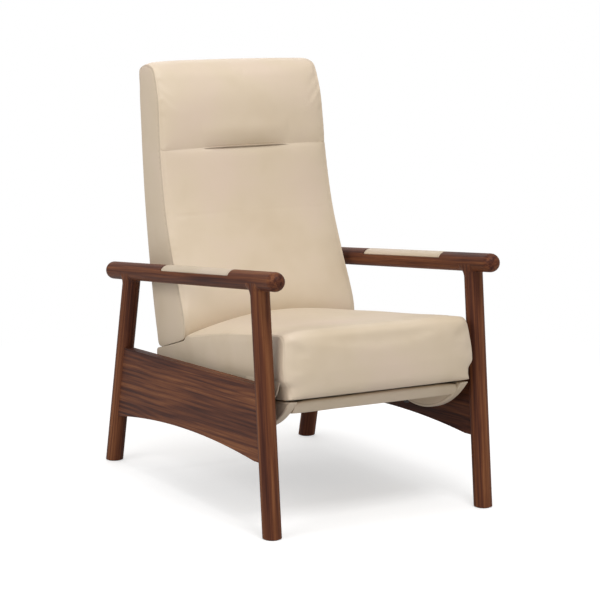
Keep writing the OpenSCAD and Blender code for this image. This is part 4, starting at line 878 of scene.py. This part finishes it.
def make_arm_pad(side):
    """Leather wrap let into the top of an arm rail."""
    centre = Vector((0, *RAIL_FRONT))
    slope = Vector(RAIL_DIR)
    up = Vector((0, -slope.z, slope.y))
    start, end = ((y - RAIL_FRONT[0]) / slope.y for y in (PAD_FRONT_Y, PAD_REAR_Y))
    length = end - start
    near_end = np.array([0.15, 0.6, 1.4, 2.6, 4.2, PAD_SEAM, 9.5])
    rings, crease_shade = [], []
    for d in np.concatenate([near_end, np.linspace(14, length - 14, 46), length - near_end[::-1]]):
        edge = min(d, length - d)
        inset = PAD_END_ROUND * quarter(edge, PAD_END_ROUND)
        crown = 0.5 * min(1.0, edge / 14) - 0.35 * math.exp(-((edge - PAD_SEAM) / 1.2) ** 2)
        r = RAIL_R + crown - inset
        reach = math.degrees(math.acos(min(0.98, (PAD_CHORD + PAD_SEAT) / r)))
        pts = []
        for g in np.linspace(-reach, reach, 27):
            lip = 0.8 * math.exp(-((reach - abs(g)) / 3.0) ** 2)
            pts.append(((r - lip) * math.sin(math.radians(g)), (r - lip) * math.cos(math.radians(g))))
        floor_x = r * math.sin(math.radians(reach)) - 0.4
        pts += [(floor_x * s, PAD_CHORD + PAD_SEAT) for s in np.linspace(1, -1, 11)[1:-1]]
        world = [Vector((side * RAIL_X + px, 0, 0)) + centre + slope * (start + d) + up * py for px, py in pts]
        rings.append(np.array([list(p) for p in world]) * MM)
        # painted shade along the seam near each end
        crease_shade.append([0.55 * math.exp(-((edge - PAD_SEAM) / 1.0) ** 2)] * len(pts))
    obj = loft("arm_pad_" + ("left" if side > 0 else "right"), rings, {"crease_shade": np.concatenate(crease_shade)})
    subdivide(obj)
    return obj


# ---------------------------------------------------------------- footrest
CHEEK_TOP, CHEEK_R, CHEEK_REAR, CHEEK_T, CHEEK_EDGE = -2.5, 255.0, 278.0, 22.0, 4.0
CHEEK_CENTRE = np.array([188.0, 182.0])
BAND_A = 27.0
BOARD_BOTTOM = CHEEK_TOP - 29.0
BOARD_HALF = 221.7


def cheek_outline():
    """D shape in the seat frame, anticlockwise, with its rear corner rounded."""
    r, top, rear, corner = CHEEK_R, CHEEK_TOP, CHEEK_REAR, 20.0
    corner_b = CHEEK_CENTRE[1] - math.sqrt((r - corner) ** 2 - (rear - corner - CHEEK_CENTRE[0]) ** 2)
    drop = CHEEK_CENTRE[1] - top
    start = 180 + math.degrees(math.asin(drop / r))
    touch = math.degrees(math.atan2(corner_b - CHEEK_CENTRE[1], rear - corner - CHEEK_CENTRE[0])) % 360
    pts = arc(CHEEK_CENTRE, r, start, touch, 60)
    pts += arc((rear - corner, corner_b), corner, touch - 360, 0, 10)
    pts += [(rear, top - 4)] + arc((rear - 4, top - 4), 4, 0, 90, 4)
    return pts


def make_cheek(side):
    """D-shaped side of the footrest, with a seam inside its rim on both faces."""
    outline, _ = resample(cheek_outline(), 5.5)
    normal = normals_2d(outline)
    mid = np.column_stack([np.clip(outline[:, 0], 110, 240), np.full(len(outline), -30.0)])
    inner, seam_share = BOX_OUT - CHEEK_T, 0.945
    face = (0.06, 0.2, 0.36, 0.52, 0.68, 0.82, 0.90, seam_share)
    rim = [(CHEEK_EDGE * (1 - math.cos(g)), CHEEK_EDGE * (1 - math.sin(g)))
           for g in np.radians([0, 22, 45, 68, 90])]
    # stations: (distance across, how far the outline is drawn in, its share of the full size)
    stations = [(inner - 0.25 * (1 - share ** 4), CHEEK_EDGE, share) for share in face]
    stations += [(inner + deep, draw, 1.0) for deep, draw in rim]
    stations += [(x, 0.0, 1.0) for x in np.linspace(inner + CHEEK_EDGE + 2.5, BOX_OUT - CHEEK_EDGE - 2.5, 5)]
    stations += [(BOX_OUT - deep, draw, 1.0) for deep, draw in reversed(rim)]
    stations += [(BOX_OUT, CHEEK_EDGE, share) for share in reversed(face)]
    rings, crease_shade = [], []
    for x, draw, share in stations[::side]:
        rings.append(seat_ring_to_world(side * x, mid + (outline - normal * draw - mid) * share))
        # painted shade on the seam ring of each face
        crease_shade.append(np.full(len(outline), 0.5 if share == seam_share else 0.0))
    obj = loft("cheek_" + ("left" if side > 0 else "right"), rings, {"crease_shade": np.concatenate(crease_shade)})
    subdivide(obj)
    return obj


def make_footrest_cover():
    """Front band and pad of the footrest, between its cheeks."""
    rear = CHEEK_REAR - 14
    points = (arc((BAND_A + 20, BOARD_BOTTOM + 7), 9, 215, 270, 6)
              + [(BAND_A + 46, BOARD_BOTTOM - 2), (rear - 10, BOARD_BOTTOM - 2)]
              + arc((rear - 4, BOARD_BOTTOM + 4), 6, 270, 360, 6) + arc((rear - 6, CHEEK_TOP - 8.5), 8, 0, 90, 6)
              + [(200, CHEEK_TOP), (120, CHEEK_TOP)] + arc((BAND_A + 7, CHEEK_TOP - 7.5), 7, 90, 170, 8)
              + [(BAND_A + 4, CHEEK_TOP - 16)])
    outline, _ = resample(points, 5.5)
    normal = normals_2d(outline)
    soft = np.where(outline[:, 1] < CHEEK_TOP - 12, 0.3, 1.0)
    mid = np.column_stack([np.clip(outline[:, 0], 60, 250), np.full(len(outline), -18.0)])
    xs = np.concatenate([np.linspace(0, 205, 29), [211, 215, 218, 220, 221.2, BOARD_HALF]])
    least, most = 0.4, 4.6
    stations = [(x, least + (most - least) * (abs(x) / BOARD_HALF) ** 14, 1.0)
                for x in np.concatenate([-xs[::-1], xs[1:]])]
    ends = [(BOARD_HALF, most, share) for share in (0.96, 0.88, 0.7, 0.45, 0.2, 0.05)]
    stations = [(-x, d, s) for x, d, s in reversed(ends)] + stations + ends
    rings = []
    for x, draw, share in stations:
        q = outline - normal * (draw * soft)[:, None]
        rings.append(seat_ring_to_world(x, mid + (q - mid) * share))
    obj = loft("footrest_pad", rings, {"ring_a": np.tile(outline[:, 0], len(rings)),
                                       "ring_b": np.tile(outline[:, 1], len(rings))})
    ra, rb = get_tag(obj, "ring_a"), get_tag(obj, "ring_b")
    x = np.abs(get_co(obj)[:, 0]) / MM
    pin = np.maximum(np.where(x > 217, 1.0, 0), np.where(rb < CHEEK_TOP - 15, 1.0, 0))
    pin = np.maximum(pin, np.where(ra < 36, 0.9, 0))
    report["footrest"] = puff(obj, pin, 2.5, np.full(len(pin), 1.6 * MM))
    subdivide(obj)
    co, n = get_co(obj), get_normals(obj)
    lift = 0.35 * waves(co, 41, 5.0, 2)
    set_co(obj, co + n * (lift * MM)[:, None])
    set_tag(obj, "crease_shade", np.zeros(len(co)))
    smooth(obj)
    return obj


DUST_HALF, DUST_FRONT, DUST_REAR = 240.5, 34.5, 672.5
DUST_COLUMNS, DUST_ROWS = 60, 80


def make_dust_cover():
    """Thin black cloth pulled over the underside of the seat box."""
    verts = []
    xs = np.linspace(-DUST_HALF, DUST_HALF, DUST_COLUMNS)
    middle = np.cos(np.pi * xs / (2 * DUST_HALF))
    for a in np.linspace(DUST_FRONT, DUST_REAR, DUST_ROWS):
        sag = 5.5 * np.sin(np.pi * (a - DUST_FRONT) / (DUST_REAR - DUST_FRONT)) ** 0.6
        heights = 0.65 - sag * middle ** 0.8 + 0.25 * np.sin(xs / 17.0 + a / 31.0) * middle
        ab = np.column_stack([np.full(DUST_COLUMNS, a), heights])
        verts.extend(seat_ring_to_world(xs, ab))
    faces = [(j * DUST_COLUMNS + i, j * DUST_COLUMNS + i + 1, (j + 1) * DUST_COLUMNS + i + 1,
              (j + 1) * DUST_COLUMNS + i) for j in range(DUST_ROWS - 1) for i in range(DUST_COLUMNS - 1)]
    obj = new_object("dust_cloth", verts, faces)
    solid = obj.modifiers.new("thickness", "SOLIDIFY")
    solid.thickness = 0.8 * MM
    solid.offset = 0
    bpy.context.view_layer.update()
    apply_modifiers(obj)
    smooth(obj)
    return obj


# ---------------------------------------------------------------- the soft pieces, each on its body
# the arm pads get a darker copy of the same leather: painted shade on their lit tops
LEATHER_TONE, PAD_SHADE_TONE = 0.90, 0.71
leather = leather_material("leather", LEATHER_TONE)
shaded_pad_leather = leather_material("arm_leather_shaded", PAD_SHADE_TONE)
report = {}
seat, left_roll, right_roll = make_seat(), make_side_roll(1), make_side_roll(-1)
back, outside = make_back(), make_outside_back()
left_pad, right_pad, left_cheek, right_cheek = make_arm_pad(1), make_arm_pad(-1), make_cheek(1), make_cheek(-1)
footrest_pad, dust = make_footrest_cover(), make_dust_cover()
print("largest cloth move, m:", {k: round(v, 4) for k, v in report.items()})

for obj, body, node, fill, material in (
        (seat, "seat", "seat_cushion", 0.9, leather),
        (back, "back", "back_cushion", 0.9, leather),
        (outside, "back", "outside_back", 0.9, leather),
        (footrest_pad, "footrest", "footrest_cover", 0.9, leather),
        (left_pad, "frame", "left_arm_pad", 1.0, shaded_pad_leather),
        (right_pad, "frame", "right_arm_pad", 1.0, shaded_pad_leather),
        (left_cheek, "footrest", "left_cheek", 1.0, leather),
        (right_cheek, "footrest", "right_cheek", 1.0, leather),
        (left_roll, "seat", "seat_cushion", 1.0, leather),
        (right_roll, "seat", "seat_cushion", 1.0, leather)):
    assign(obj, material)
    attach(obj, body)
    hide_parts(node)

assign(dust, cloth_material("dust_weave", srgb(24, 24, 25), srgb(52, 51, 50)))
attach(dust, "seat")
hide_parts("dust_cover")

# ---------------------------------------------------------------- floor, world and light
FLOOR_HALF = 14.0
FLOOR_COLORS = ((0.60, 0.60, 0.60), (0.62, 0.62, 0.62))
FLOOR_LIFT = 0.52                   # added for the camera alone, near the chair
FLOOR_FADE = (0.9, 2.1)             # where the floor turns plain white for the camera, in metres
WORLD_FILL = 0.52

floor = new_object("floor", [(x * FLOOR_HALF, y * FLOOR_HALF, 0) for x, y in ((-1, -1), (1, -1), (1, 1), (-1, 1))],
                   [(0, 1, 2, 3)])
g = Graph.material("floor_white")
g.tree.nodes.remove(g.shader)
place = g.place()
matt = g.node("BsdfDiffuse", {"Color": g.mix(g.noise(place, 3.0, 2.0), *FLOOR_COLORS)})
to_camera = g.node("LightPath").outputs["Is Camera Ray"]
nothing, lift, glow = (g.node("Emission", {"Color": color, "Strength": strength}).outputs[0]
                       for color, strength in ((BLACK, 0.0), (WHITE, FLOOR_LIFT), (WHITE, 1.0)))
lifted = g.node("MixShader", {0: to_camera, 1: nothing, 2: lift})
near = g.node("AddShader", {0: matt.outputs[0], 1: lifted.outputs[0]})
distance = g.node("VectorMath", {0: place}, operation="LENGTH").outputs["Value"]
far = g.node("MapRange", {"Value": distance, "From Min": FLOOR_FADE[0], "From Max": FLOOR_FADE[1]}, clamp=True)
white = g.math("MULTIPLY", far.outputs["Result"], to_camera)
blend = g.node("MixShader", {0: white, 1: near.outputs[0], 2: glow})
g.put(g.out.inputs["Surface"], blend.outputs[0])
assign(floor, g.owner)

scene.world = bpy.data.worlds.new("studio")
g = Graph(scene.world)
fill, white = (g.node("Background", {"Color": color, "Strength": strength}).outputs[0]
               for color, strength in (((1.0, 0.985, 0.97, 1.0), WORLD_FILL), (WHITE, 1.0)))
rays = g.node("LightPath").outputs
shown = g.math("MAXIMUM", rays["Is Camera Ray"], rays["Is Transmission Ray"])
g.put(g.out.inputs["Surface"], g.node("MixShader", {0: shown, 1: fill, 2: white}).outputs[0])


def softbox(name, place, target, size, power):
    data = bpy.data.lights.new(name, "AREA")
    data.shape = "RECTANGLE"
    data.size, data.size_y = size
    data.energy = power
    lamp = bpy.data.objects.new(name, data)
    lamp.location = place
    lamp.rotation_euler = (Vector(target) - Vector(place)).to_track_quat("-Z", "Y").to_euler()
    scene.collection.objects.link(lamp)


softbox("overhead", (0.0, 0.1, 5.0), (0.0, 0.0, 0.4), (2.2, 2.2), 46.0)
softbox("front", (-0.3, -2.7, 4.4), (0.0, 0.0, 0.5), (1.5, 1.4), 88.0)
softbox("side", (-3.4, -0.9, 2.4), (0.0, 0.0, 0.5), (2.4, 1.8), 52.0)
softbox("rear", (0.9, 3.0, 2.6), (0.0, 0.0, 0.6), (2.4, 1.4), 16.0)

scene.view_settings.view_transform = "Standard"
